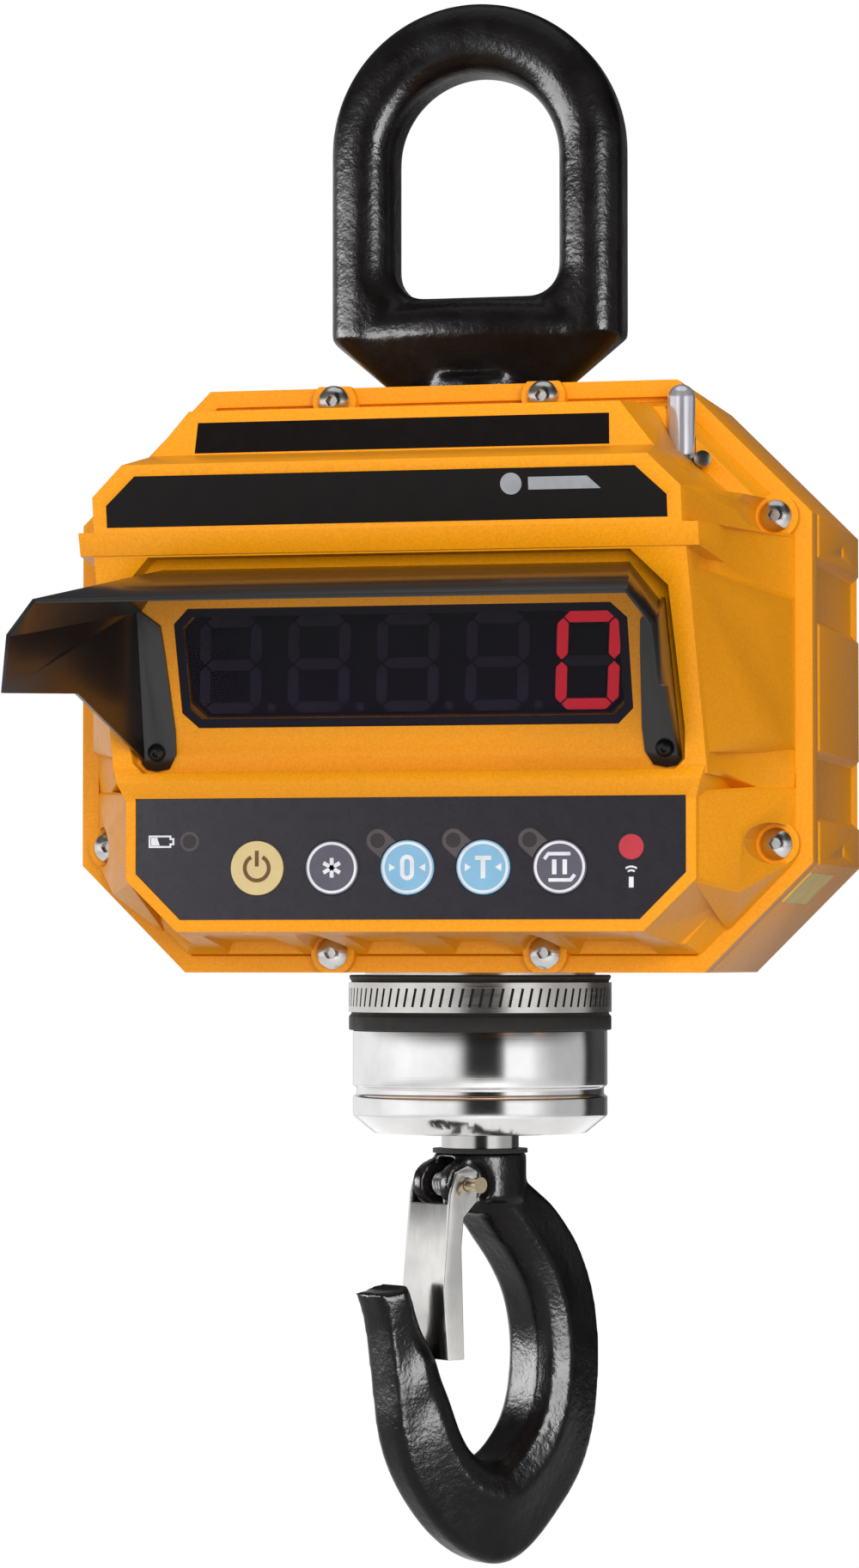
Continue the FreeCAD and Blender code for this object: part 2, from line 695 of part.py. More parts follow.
def front_case():
    """The front cover: a flange with a lip, the frame's blocks, and their pockets."""
    plates()
    full = [(float(x), float(z)) for x, z in grown(0)]
    inside = [(float(x), float(z)) for x, z in grown(-S.rim_width)]
    flange = prism(full, S.flange_front, S.flange_back)
    lip = prism(full, S.flange_front + S.rim_height, S.flange_front).cut(prism(inside, 80, 60))
    blocks = fused([flange, lip] + front_frame_blocks())
    blocks = blocks.common(prism(full, 200, 50))
    keypad = [(float(x), float(z)) for x, z in keypad_outline()]
    cutters = front_pockets() + [
        leaning(prism_flat(window_outline(), -3.5, 30), S.floor_front, S.floor_lean),
        leaning(prism_flat(window_outline(-3.0), -60, 5), S.floor_front, S.floor_lean),
        prism(keypad, 150, KEYPAD_BACK),
        panel_plate(STRIP_OUTLINE, STRIP_SEAT, STRIP_LEAN, 20),
        panel_plate(PANEL_OUTLINE, PANEL_SEAT, PANEL_LEAN, 20),
        Part.makeCylinder(FITTING_RADIUS, 30, TUBE - Vector(0, 0, FITTING_DEPTH)),
        tube_fitting()]
    cutters += [hood_screw_hole(side, HOOD_SCREW_SHANK) for side in (-1, 1)]
    cover = blocks.cut(cutters)
    return shaped("front_cover", max(cover.Solids, key=lambda solid: solid.Volume))


def prism_flat(corners, low, high):
    """A prism drawn at the case's middle, between two distances towards the front."""
    ring = [Vector(float(x), -low, float(MID) + float(z)) for x, z in corners]
    face = Part.Face(Part.makePolygon(ring + [ring[0]]))
    return face.extrude(Vector(0, -(high - low), 0))


def side_recesses():
    """The shallow troughs with sloping ends that leave three raised pads on each side."""
    outside = float(S.case_half) + 0.5
    floor = float(S.case_half - S.side_recess)
    slope = 3.5
    troughs = []
    for side in (-1, 1):
        for low, high, front, back in ((19, 47, 52, -60), (-57, -28, 52, -60), (-74, 64, 58, 50)):
            troughs.append(hull([corner(side * x, y, z) for x, y, z in (
                (outside, front, low), (outside, front, high), (outside, back, low),
                (outside, back, high), (floor, front, low + slope), (floor, front, high - slope),
                (floor, back + slope, low + slope), (floor, back + slope, high - slope))]))
    feature = DOC.addObject("Part::Feature", "side_recesses")
    feature.Shape = fused(troughs)
    return feature


def rear_case():
    """The rear housing: an octagonal tub with a bevelled back and recessed side facets."""
    body = new_body("rear_housing_blank")
    front_face = S.flange_back - S.seam
    pad = slab(body, [raised(grown(0))], front_face, -S.rear_depth)
    DOC.recompute()
    back_edges = [f"Edge{index}" for index, edge in enumerate(pad.Shape.Edges, start=1)
                  if abs(edge.BoundBox.YMin - float(S.rear_depth)) < 0.01
                  and abs(edge.BoundBox.YLength) < 0.01]
    bevel = body.newObject("PartDesign::Chamfer", "Bevel")
    bevel.Base = (pad, back_edges)
    bind(bevel, "Size", S.rear_bevel)
    body.Tip = bevel
    room = new_body("housing_room")
    slab(room, [raised(grown(-S.wall))], front_face + 1, -S.room_back)
    deep_room = new_body("housing_deep_room")
    slab(deep_room, [raised(grown(-S.back_wall))], front_face, -S.deep_room_back)
    tools = [room, deep_room,
             cylinder("ring_way", S.neck_radius + 3, 20, 0, 0, -143),
             cylinder("housing_way", 47.5, 20, 0, 0, -371),
             block("pack_way", 153, 20, 81, 0, 70, MID - 57.5)]
    tools.append(side_recesses())
    for side in (-1, 1):
        for z in SIDE_SCREWS:
            tools.append(cylinder("side_screw_hole", S.side_screw_radius, 8, side * 143 - 4,
                                  S.side_screw_back, MID + z, SIDEWAYS))
        tools.append(cylinder("knob_way", 4, 30, S.knob_out * side, 55, PACK_MID, BACKWARD))
    for x, z in FLANGE_SCREWS:
        tools.append(cylinder("screw_way", S.screw_shank, 30, x, -40, MID + z, FORWARD))
    bosses = [cylinder("screw_boss", 8, 26, x * 1.015, -30, MID + z * 0.985, FORWARD)
              for x, z in FLANGE_SCREWS]
    walls = cut("rear_housing_shell", body, tools[:2])
    NODES.pop("rear_housing_shell")
    clipped = DOC.addObject("Part::Common", "clipped_bosses")
    boss_group = DOC.addObject("Part::MultiFuse", "boss_group")
    boss_group.Shapes = bosses
    outer = new_body("boss_limit")
    slab(outer, [raised(grown(-1))], front_face, 20)
    clipped.Base = boss_group
    clipped.Tool = outer
    whole = join("rear_housing_whole", [walls, clipped])
    NODES.pop("rear_housing_whole")
    return cut("rear_housing", whole, tools[2:])


def case_small_parts():
    """Gasket, flange screws, the side screws and the blank labels on the housing."""
    gasket = plate_body("case_gasket", [raised(grown(-2.5)), raised(grown(-8))],
                        S.flange_back, S.flange_back - S.seam)
    screw_holes = [cylinder("gasket_hole", S.screw_shank, 6, x, -53, MID + z, FORWARD)
                   for x, z in FLANGE_SCREWS]
    cut("case_gasket", gasket, screw_holes)
    screw = button_screw(float(S.screw_head), float(S.screw_head_high), float(S.screw_shank), 36)
    copies = []
    for x, z in FLANGE_SCREWS:
        piece = screw.copy()
        piece.Placement = Placement(corner(x, S.screw_seat, z), FORWARD)
        copies.append(piece)
    shaped("case_screws", Part.makeCompound(copies))
    small = button_screw(3.4, 2.2, HOOD_SCREW_SHANK, 6)
    copies = []
    for side in (-1, 1):
        piece = small.copy()
        seat, out = hood_screw_line(side, float(S.hood_sheet) + HOOD_LIFT)
        piece.Placement = Placement(seat, Rotation(Vector(0, 0, 1), out))
        copies.append(piece)
    shaped("hood_screws", Part.makeCompound(copies))
    pieces = [cylinder("side_set_screw", S.side_screw_radius, 2.5, side * 142 - 1.25,
                       S.side_screw_back, MID + z, SIDEWAYS)
              for side in (-1, 1) for z in SIDE_SCREWS]
    group("side_screws", pieces)
    tube = Part.makeCylinder(TUBE_RADIUS, TUBE_HIGH, TUBE).fuse(
        Part.makeSphere(TUBE_RADIUS, TUBE + Vector(0, 0, TUBE_HIGH)))
    shaped("receiver_tube", tube.removeSplitter())
    shaped("tube_fitting", tube_fitting())
    side_label()


LABEL_DEEP, LABEL_HIGH = 60, 16
LABEL_FRONT = 23
LABEL_UP = 12
LABEL_PROUD = 0.36


def side_label():
    """A small blank sticker on the housing's lower right corner facet."""
    sticker = Part.makeBox(1, LABEL_DEEP, LABEL_HIGH, Vector(-1, -LABEL_DEEP / 2, -LABEL_HIGH / 2))
    sticker.rotate(Vector(), Vector(0, 1, 0), 45)
    facet = Vector(float(S.case_half - S.bottom_cut * 0.5), -LABEL_FRONT,
                   float(MID - S.case_down + S.bottom_cut * 0.5))
    sticker.translate(facet + Vector(LABEL_UP + LABEL_PROUD, 0, LABEL_UP - LABEL_PROUD))
    shaped("side_label", sticker.cut(DOC.getObject("rear_housing_blank").Shape))


def button_screw(head, high, shank, length):
    """A button-head screw along +Z with its seat at z = 0 and a hexagon socket."""
    crown = Part.Arc(Vector(head, 0, high * 0.25), Vector(head * 0.72, 0, high * 0.8),
                     Vector(head * 0.35, 0, high)).toShape()
    profile = Part.Wire([
        Part.makeLine((0, 0, -length), (shank, 0, -length)),
        Part.makeLine((shank, 0, -length), (shank, 0, 0)),
        Part.makeLine((shank, 0, 0), (head, 0, 0)),
        Part.makeLine((head, 0, 0), (head, 0, high * 0.25)), crown,
        Part.makeLine((head * 0.35, 0, high), (0, 0, high)),
        Part.makeLine((0, 0, high), (0, 0, -length))])
    solid = Part.Face(profile).revolve(Vector(), Vector(0, 0, 1), 360)
    socket = [Vector(head * 0.38 * math.cos(math.radians(a)),
                     head * 0.38 * math.sin(math.radians(a)), high * 0.35)
              for a in range(0, 360, 60)]
    hole = Part.Face(Part.makePolygon(socket + [socket[0]])).extrude(Vector(0, 0, high))
    return solid.cut(hole)


# ---------------------------------------------------------------- display, keypad, boards

LIT_DIGIT = 4


def display_parts():
    window = new_body("display_window")
    slab(window, [window_outline()], -0.5, -3.5)
    tilted(keep(window, "display_window"))
    back = -3.7
    face = new_body("digit_face")
    slab(face, [window_outline(-3.6)], back - 0.6, back - 7)
    tilted(keep(face, "digit_modules"))
    board = new_body("display_board")
    slab(board, [window_outline(-3.6)], back - 7, back - 8.6)
    tilted(keep(board, "display_board"))
    lit, unlit = [], []
    for index in range(5):
        for name, segment in digit_segments((index - 2) * float(S.digit_pitch) + 1.5).items():
            if index == LIT_DIGIT and name == "dot":
                continue
            shows = index == LIT_DIGIT and name != "middle"
            (lit if shows else unlit).append(segment)
    shaped("lit_segments", Part.makeCompound(lit))
    shaped("unlit_segments", Part.makeCompound(unlit))


def digit_segments(centre):
    """The seven bars and the dot of one digit, on the front of the digit modules."""
    half_w = float(S.digit_width) / 2 - float(S.segment) / 2
    half_h = float(S.digit_height) / 2 - float(S.segment) / 2
    thick = float(S.segment) / 2
    gap = 0.5
    slant = float(S.digit_slant)

    def bar(x0, z0, x1, z1):
        """A bar with pointed ends from one joint of the digit to the next."""
        along = Vector(x1 - x0, 0, z1 - z0).normalize()
        across = Vector(-along.z, 0, along.x)
        start = Vector(x0, 0, z0) + along * gap
        end = Vector(x1, 0, z1) - along * gap
        ring = [start, start + along * thick + across * thick, end - along * thick + across * thick,
                end, end - along * thick - across * thick, start + along * thick - across * thick]
        ring = [Vector(centre + point.x + slant * point.z, 4.3, float(MID) + 1 + point.z)
                for point in ring]
        solid = Part.Face(Part.makePolygon(ring + [ring[0]])).extrude(Vector(0, -0.4, 0))
        return leaning(solid, S.floor_front, S.floor_lean)

    bars = {
        "top": bar(-half_w, half_h, half_w, half_h), "middle": bar(-half_w, 0, half_w, 0),
        "bottom": bar(-half_w, -half_h, half_w, -half_h),
        "left_up": bar(-half_w, 0, -half_w, half_h), "left_low": bar(-half_w, -half_h, -half_w, 0),
        "right_up": bar(half_w, 0, half_w, half_h), "right_low": bar(half_w, -half_h, half_w, 0),
    }
    dot = Part.makeCylinder(thick * 0.8, 0.4, Vector(centre + half_w + 4.6, 4.3,
                                                     float(MID) + 1 - half_h), Vector(0, -1, 0))
    bars["dot"] = leaning(dot, S.floor_front, S.floor_lean)
    return bars


def keypad_parts():
    key_hole = S.key_radius + S.key_gap
    holes = [(x, MID + S.key_row, key_hole) for x in KEYS.values()]
    holes += [(x, MID + S.lamp_row, S.lamp_radius) for x in LAMPS]
    holes.append((RECEIVER[0], MID + RECEIVER[1], S.receiver_radius))
    plate_body("keypad_overlay", [raised(keypad_outline())], KEYPAD_BACK + S.plate, KEYPAD_BACK,
               holes)
    for name, x in KEYS.items():
        blank = cylinder(f"key_{name}_disc", S.key_radius, S.key_thick, x,
                         -(KEYPAD_BACK + S.plate + S.key_rise - S.key_thick), MID + S.key_row,
                         FORWARD)
        rounded = DOC.addObject("Part::Fillet", f"key_{name}")
        rounded.Base = blank
        DOC.recompute()
        front_edges = [index for index, edge in enumerate(blank.Shape.Edges, start=1)
                       if edge.BoundBox.YMax < -float(KEYPAD_BACK + S.plate)]
        edge_radius = float(S.key_edge)
        rounded.Edges = [(index, edge_radius, edge_radius) for index in front_edges]
        keep(rounded, f"key_{name}")
    lamps = [cylinder("lamp_window", S.lamp_radius, S.plate, x, -KEYPAD_BACK, MID + S.lamp_row,
                      FORWARD) for x in LAMPS]
    group("lamp_windows", lamps)
    keep(cylinder("receiver_window", S.receiver_radius, S.plate, RECEIVER[0], -KEYPAD_BACK,
                  MID + RECEIVER[1], FORWARD), "receiver_window")
    keep(block("key_switches", 140, 1.2, 14, 0, -124, MID - 81.4), "key_switches")
    keep(block("keypad_board", 172, S.board, 30, 0, -122.6, MID - 84), "keypad_board")
    keep(block("main_board", 150, S.board, 70, 0, -88, MID - 30), "main_board")


# ---------------------------------------------------------------- hood

def hood():
    """A bent sheet visor: roof, two sloping cheeks, two flared sides, two foot flanges."""
    sheet = float(S.hood_sheet)
    lift = HOOD_LIFT
    roof_back = floor_front(37.4) + lift
    plates = []
    for side in (-1, 1):
        fold_back = corner(side * 89.2, roof_back, 37.4)
        fold_front = corner(side * 107.8, S.hood_front, 19.4)
        knee_back = corner(side * 101.8, floor_front(24.5) + lift, 24.5)
        knee_front = corner(side * 117.6, S.hood_front, 6.8)
        foot_back = corner(side * 104.4, floor_front(-34) + lift, -34)

        def side_point(front, z):
            """The point of the flared side plate at a distance in front and a height."""
            normal = (knee_front - knee_back).cross(foot_back - knee_back)
            point = corner(0, front, z)
            reach = normal.dot(knee_back - point) / normal.x
            return Vector(reach, point.y, point.z)

        inner = Vector(-side * 10, 0, float(MID)) + Vector(0, -180, 0)
        plates.append(bent_plate([fold_back, fold_front, knee_front, knee_back], sheet, inner))
        plates.append(bent_plate([knee_back, knee_front, side_point(S.hood_front, -14),
                                  side_point(192, -11), side_point(floor_front(-31) + 6, -31),
                                  foot_back], sheet, inner))
        flange = [(101.8, 24.5), (92, 17), (91.2, 6), (90, -22), (90.6, -31), (93.6, -36),
                  (98.5, -37), (102.5, -36.2), (104.4, -34)]
        ring = [corner(side * x, floor_front(z) + lift, z) for x, z in flange]
        plates.append(bent_plate(ring, sheet, corner(0, 400, 150)))
    roof = [corner(-89.2, roof_back, 37.4), corner(89.2, roof_back, 37.4),
            corner(107.8, S.hood_front, 19.4), corner(-107.8, S.hood_front, 19.4)]
    plates.append(bent_plate(roof, sheet, corner(0, 200, 0)))
    whole = fused(plates)
    holes = [hood_screw_hole(side, HOOD_SCREW_SHANK) for side in (-1, 1)]
    return shaped("sun_hood", whole.cut(holes))


def bent_plate(ring, thick, inside):
    """A flat sheet whose outline lies on one face and whose thickness goes inwards."""
    normal = (ring[1] - ring[0]).cross(ring[2] - ring[0]).normalize()
    if normal.dot(inside - ring[0]) < 0:
        normal = normal * -1
    flat = [point - normal * normal.dot(point - ring[0]) for point in ring]
    return Part.Face(Part.makePolygon(flat + [flat[0]])).extrude(normal * thick)


# ---------------------------------------------------------------- swivel housing

def swivel_housing():
    radius = S.housing_radius
    turned_body("boot_sleeve", [(46.2, -362), (52.4, -362), (52.4, -363.5), (51.6, -364.2),
                                (51.6, -377.6), (52.6, -378.4), (52.6, -384), (46.2, -384)])
    band = turned_body("clamp_band_ring", [(51.6, -376.8), (52.7, -376.8), (52.7, -365),
                                           (51.6, -365)])
    NODES.pop("clamp_band_ring")
    DOC.recompute()
    slots = []
    slot_count = 84
    for index in range(slot_count):
        angle = 360 * index / slot_count
        if 200 < angle < 232:
            continue
        slot = Part.makeBox(1.1, 2.4, 7.5, Vector(-0.55, -1.2, -3.75))
        slot.rotate(Vector(), Vector(0, 1, 0), 12)
        slot.translate(Vector(0, -52.2, -370.9))
        slot.rotate(Vector(), Vector(0, 0, 1), angle)
        slots.append(slot)
    shaped("clamp_band", band.Shape.cut(Part.makeCompound(slots)))
    saddle = block("clamp_saddle", 16, 8, 13, 0, 56.9, -377.3)
    screw = cylinder("clamp_worm", 3.6, 24, -12, 58.5, -370.9, SIDEWAYS)
    join("clamp_screw", [saddle, screw])
    turned_body("load_housing", [
        (15.6, S.housing_low), (S.housing_foot, S.housing_low), (radius, S.housing_rim),
        (radius, -410.5), (radius - 1.4, -409.6), (radius - 1.4, -406.8), (radius, -406),
        (radius, S.housing_shoulder), (46.2, S.housing_shoulder), (46.2, S.housing_top),
        (S.cavity_radius, S.housing_top), (S.cavity_radius, -412), (15.6, -412)])
    turned_body("housing_cap", [(0, -311), (16, -311), (16, -345), (30, -345), (34, -356),
                                (46.2, -356), (46.2, S.housing_top),
                                (S.cavity_radius - 4, S.housing_top), (36, -362), (0, -362)])
    gap = float(S.running_gap)
    turned_body("neck_bush", [(14.06, S.neck_low), (S.bush_radius, S.neck_low),
                              (S.bush_radius, -408), (18, -408), (18, -405), (14.06, -405)])
    lower_race = turned_body("lower_race", [
        (18.5, -412), (36, -412), (36, -406.5), (31, -406.5),
        (29, -407.3), (25, -407.3), (23, -406.5), (18.5, -406.5)])
    upper_race = turned_body("upper_race", [
        (18.5, -397), (36, -397), (36, -402.5), (31, -402.5),
        (29, -401.7), (25, -401.7), (23, -402.5), (18.5, -402.5)])
    NODES.pop("lower_race")
    NODES.pop("upper_race")
    group("bearing_races", [lower_race, upper_race])
    balls = []
    ball_count = 20
    for index in range(ball_count):
        angle = 2 * math.pi * index / ball_count
        balls.append(Part.makeSphere(2.8, Vector(27 * math.cos(angle), 27 * math.sin(angle),
                                                 -404.5)))
    shaped("bearing_balls", Part.makeCompound(balls))
    level_body("hook_nut", [hexagon(54)], -397 + gap, -377, [(0, 0, S.shank_radius)])
    turned_body("dust_washer", [(14, S.neck_low - gap), (S.hook_neck + 0.5, S.neck_low - gap),
                                (S.hook_neck + 0.5, S.neck_low - 2), (14, S.neck_low - 2)])


# ---------------------------------------------------------------- hook and latch

HOOK_INNER = [(18, -446), (5, -459), (-6, -471.5), (-16.5, -486), (-22, -503), (-22.6, -521),
              (-19, -537), (-10, -549.5), (1, -555.5), (10.5, -551.5), (17.5, -541), (23, -527),
              (31.5, -507), (44, -485.5)]
HOOK_OUTER = [(-18.4, -446), (-35, -459), (-48, -476), (-55.5, -497), (-57, -517), (-55.5, -538),
              (-48, -562), (-33, -581), (-8, -597), (11, -592), (33, -572.5), (44.5, -553),
              (50.5, -521), (58, -487)]
HOOK_SECTIONS = 27
LUG_RADIUS = 9.5


def hook_section(inner, outer, inner_half, belly_half, outer_half):
    """One section: a rounded saddle inside, a thick belly, and a narrower back."""
    along = outer - inner
    across = Vector(0, 1, 0)
    waist_half = 0.45 * belly_half + 0.55 * outer_half
    points = []
    for share, half in ((0.0, 0.62 * inner_half), (0.10, inner_half), (0.34, belly_half),
                        (0.64, waist_half), (0.94, outer_half), (1.0, 0.6 * outer_half)):
        points.append(inner + along * share + across * half)
    points += [point - across * (2 * point.y) for point in reversed(points)]
    return Part.makePolygon(points + [points[0]])


def smooth_share(share, knots):
    """A value that runs smoothly through (share, value) knots."""
    for (start, low), (end, high) in zip(knots, knots[1:]):
        if share <= end:
            part = (share - start) / (end - start)
            part = part * part * (3 - 2 * part)
            return low + (high - low) * part
    return knots[-1][1]


def hook_parts():
    """The forged hook, drawn in the X-Z plane with its tip towards +X, then turned."""
    inner = Part.BSplineCurve()
    inner.interpolate([Vector(x, 0, z) for x, z in HOOK_INNER])
    outer = Part.BSplineCurve()
    outer.interpolate([Vector(x, 0, z) for x, z in HOOK_OUTER])
    sections = []
    last = len(HOOK_INNER) - 1
    inner_marks = [inner.parameter(Vector(x, 0, z)) for x, z in HOOK_INNER]
    outer_marks = [outer.parameter(Vector(x, 0, z)) for x, z in HOOK_OUTER]
    for index in range(HOOK_SECTIONS):
        share = index / (HOOK_SECTIONS - 1)
        place_on = share * last
        step = min(int(place_on), last - 1)
        part = place_on - step
        inner_at = inner_marks[step] + (inner_marks[step + 1] - inner_marks[step]) * part
        outer_at = outer_marks[step] + (outer_marks[step + 1] - outer_marks[step]) * part
        sections.append(hook_section(
            inner.value(inner_at), outer.value(outer_at),
            smooth_share(share, [(0, 12.5), (0.25, 13), (0.6, 14), (0.8, 11.5), (1, 7.5)]),
            smooth_share(share, [(0, 16.5), (0.25, 16.5), (0.6, 16.5), (0.8, 13.5), (1, 9.5)]),
            smooth_share(share, [(0, 12.5), (0.25, 9), (0.6, 8.5), (0.8, 8.5), (1, 8.5)])))
    bow = Part.makeLoft(sections, True, False)
    neck = Part.makeCylinder(float(S.hook_neck), 19, Vector(0, 0, -452))
    shank = Part.makeCylinder(float(S.shank_radius), 64, Vector(0, 0, -436))
    pin_at = Vector(float(S.latch_pin_out), 0, float(S.latch_pin_z))
    along_pin = Vector(0, 1, 0)
    lug_half, pin_radius = float(S.lug_half), float(S.latch_pin_radius)
    lug_round = Part.makeCylinder(LUG_RADIUS, 2 * lug_half, pin_at - along_pin * lug_half, along_pin)
    lug_root = Part.makeBox(14, 2 * lug_half, 20, Vector(0, -lug_half, pin_at.z - 12))
    whole = fused([bow, neck, shank, lug_round, lug_root])
    room = []
    for start in (lug_half, -lug_half - 30):
        at = Vector(pin_at.x, start, pin_at.z)
        room.append(Part.makeCylinder(LUG_RADIUS, 30, at, along_pin))
        room.append(Part.makeBox(20, 30, 22, at + Vector(-4, 0, -20)))
    spring_slot = Part.makeBox(22, 11, 24, pin_at + Vector(-6.5, -5.5, -14))
    pin_hole = Part.makeCylinder(pin_radius, 60, pin_at - along_pin * 30, along_pin)
    whole = whole.cut(room + [spring_slot, pin_hole])
    turned(shaped("hook", max(whole.Solids, key=lambda solid: solid.Volume)))
    pin_parts = [Part.makeCylinder(radius, end - start, pin_at + along_pin * start, along_pin)
                 for radius, start, end in ((pin_radius, -15, 20), (3.8, -16.2, -14), (3.2, 19, 21))]
    turned(shaped("latch_pin", fused(pin_parts)))
    wire = 0.85
    coil = pin_radius + 0.7 + wire
    coils = [Part.makeTorus(coil, wire, pin_at + along_pin * y, along_pin)
             for y in (-3.6, -1.8, 0, 1.8, 3.6)]
    leg = Part.makeCylinder(wire, 8.6, pin_at + Vector(coil, 3.6, 0), Vector(0, 0, -1))
    turned(shaped("latch_spring", Part.makeCompound(coils + [leg])))
    latch(pin_at)


def latch(pin_at):
    """A pressed U channel: a web towards the tip and two cheeks that hang on the pin."""
    half, sheet = float(S.latch_half), float(S.latch_sheet)
    web = [(26, -449), (29.5, -486), (27, -514)]
    foot = web[-1][1]
    window_foot = -452.5
    lug = [(19, -458), (12.5, -452), (9.7, -445), (12, -439.6), (17, -437.5), (23, -440)]
    outline = lug + web + [(18.8, foot), (20.2, -470)]
    ring = [Vector(x, -half, z) for x, z in outline]
    solid = Part.Face(Part.makePolygon(ring + [ring[0]])).extrude(Vector(0, 2 * half, 0))
    hollow = [(x - sheet, z) for x, z in web[1:]] + [
        (27 - sheet, foot - 5), (0, foot - 5), (0, window_foot), (0, -430), (40, -430),
        (40, window_foot), (26.3 - sheet, window_foot)]
    inner = [Vector(x, sheet - half, z) for x, z in hollow]
    room = Part.Face(Part.makePolygon(inner + [inner[0]])).extrude(
        Vector(0, 2 * (half - sheet), 0))
    bore = Part.makeCylinder(float(S.latch_pin_radius) + 0.06, 60, pin_at - Vector(0, 30, 0),
                             Vector(0, 1, 0))
    turned(shaped("latch", solid.cut([room, bore])))


def turned(feature):
    """Turns a hook part about the load axis to where the hook hangs at rest."""
    shape = feature.Shape.copy()
    shape.rotate(Vector(), Vector(0, 0, 1), float(S.hook_turn))
    feature.Shape = shape
    return feature


# ---------------------------------------------------------------- battery pack

def pack_outline(half_wide, half_high):
    """A rectangle in the X-Z plane about the pack's middle."""
    low, high = PACK_MID - half_high, PACK_MID + half_high
    return [(-half_wide, low), (half_wide, low), (half_wide, high), (-half_wide, high)]


def battery_parts():
    """A pack that slides out of the back, with two quarter-turn knobs through its cover."""
    half, up = S.pack_half, S.pack_up
    low = PACK_MID - up
    bay_front, bay_back = -29.0, -63.8
    around = S.bay_gap + S.bay_sheet
    outer = pack_outline(half + around, up + around)
    bay = new_body("bay_walls")
    slab(bay, [outer, pack_outline(half + S.bay_gap, up + S.bay_gap)], bay_front, bay_back)
    back_wall = new_body("bay_back")
    slab(back_wall, [outer], bay_front + S.board, bay_front)
    join("battery_bay", [bay, back_wall])
    shell = S.pack_shell * 2
    case = block("pack_case_blank", 2 * half, S.pack_deep, 2 * up, 0, S.pack_axis, low)
    room = block("pack_room", 2 * half - shell, S.pack_deep - shell, 2 * up - shell, 0,
                 S.pack_axis, low + S.pack_shell)
    cut("battery_case", case, [room])
    cells = [cylinder("cell", S.cell_radius, 2 * half - 12, 6 - half, S.pack_axis, low + offset,
                      SIDEWAYS) for offset in (21, 55)]
    group("battery_cells", cells)
    for label, y in (("bay_contacts", 31.4), ("pack_contacts", 33.0)):
        group(label, [block("contact", 8, 0.8, 16, x, y, low + 30) for x in (-20, 20)])
    back = S.rear_depth + S.cover_gap
    cover = new_body("battery_cover_blank")
    slab(cover, [pack_outline(104, up + 14)], -back, -(back + S.cover_thick))
    ways = [cylinder("knob_bore", 3.1, 20, S.knob_out * side, 65, PACK_MID, BACKWARD)
            for side in (-1, 1)]
    cut("battery_cover", cover, ways)
    plate_body("cover_seal", [pack_outline(84, up + 8), pack_outline(80, up + 4)],
               -(S.rear_depth + 0.1), -back)
    outside = back + S.cover_thick
    grip_reach, grip_high, grip_low = 24.5, 12, PACK_MID - 6
    grip = block("grip_bar", 70, 7, grip_high, 0, outside + grip_reach, grip_low)
    posts = [block("grip_post", 10, grip_reach, grip_high, x, outside + grip_reach / 2, grip_low)
             for x in (-30, 30)]
    join("battery_handle", [grip] + posts)
    for side, label in ((-1, "cover_knob_left"), (1, "cover_knob_right")):
        x = S.knob_out * side
        disc = cylinder(f"{label}_disc", S.knob_radius, 5, x, outside + 0.3, PACK_MID, BACKWARD)
        bar = block(f"{label}_bar", 5, 9, 19, x, outside + 9.5, PACK_MID - 9.5)
        stem = cylinder(f"{label}_stem", 3.05, 18, x, 58, PACK_MID, BACKWARD)
        join(label, [disc, bar, stem])
    plate_body("data_plate", [[(-30, MID + 52), (30, MID + 52), (30, MID + 84), (-30, MID + 84)]],
               -S.rear_depth, -(S.rear_depth + 0.6))


# ---------------------------------------------------------------- build and export

load_ring()
load_cell()
load_train_inside()
front_case()
rear_case()
DOC.recompute()
case_small_parts()
display_parts()
keypad_parts()
hood()
swivel_housing()
hook_parts()
battery_parts()
DOC.recompute()

for thing in DOC.Objects:
    if {"Invalid", "Error"} & set(thing.State):
        raise RuntimeError(f"{thing.Label} did not build: {thing.State}")
os.makedirs("parts", exist_ok=True)
for label, thing in NODES.items():
    shape = thing.Shape
    if shape.isNull() or not shape.isValid() or not shape.Solids:
        raise RuntimeError(f"{label} has no valid solid")
    shape.exportStep(f"parts/{label}.step")
print(len(NODES), "sub-parts written")
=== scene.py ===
"""Looks of the crane scale: paint, steel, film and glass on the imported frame, and its studio."""

import json
import math

import bmesh
import bpy
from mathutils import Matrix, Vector


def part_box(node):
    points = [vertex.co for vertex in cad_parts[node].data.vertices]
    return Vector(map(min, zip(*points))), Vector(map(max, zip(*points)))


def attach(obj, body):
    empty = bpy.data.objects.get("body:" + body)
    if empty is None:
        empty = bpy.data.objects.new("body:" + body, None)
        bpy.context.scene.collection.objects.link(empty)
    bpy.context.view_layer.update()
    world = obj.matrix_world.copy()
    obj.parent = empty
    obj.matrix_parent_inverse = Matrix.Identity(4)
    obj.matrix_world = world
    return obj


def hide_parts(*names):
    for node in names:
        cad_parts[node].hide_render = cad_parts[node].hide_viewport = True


MM = 0.001
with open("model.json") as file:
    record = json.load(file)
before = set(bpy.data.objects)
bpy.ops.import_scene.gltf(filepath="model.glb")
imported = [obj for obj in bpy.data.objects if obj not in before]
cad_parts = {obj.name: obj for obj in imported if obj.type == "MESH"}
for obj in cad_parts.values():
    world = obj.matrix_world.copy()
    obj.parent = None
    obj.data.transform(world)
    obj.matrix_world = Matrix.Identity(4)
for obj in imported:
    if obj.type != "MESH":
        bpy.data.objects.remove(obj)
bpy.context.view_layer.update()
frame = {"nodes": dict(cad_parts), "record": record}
NODES = frame["nodes"]
SLOT_OF = {part["node"]: part["material_slot"] for part in frame["record"]["subparts"]}


# ---------------------------------------------------------------- material helpers

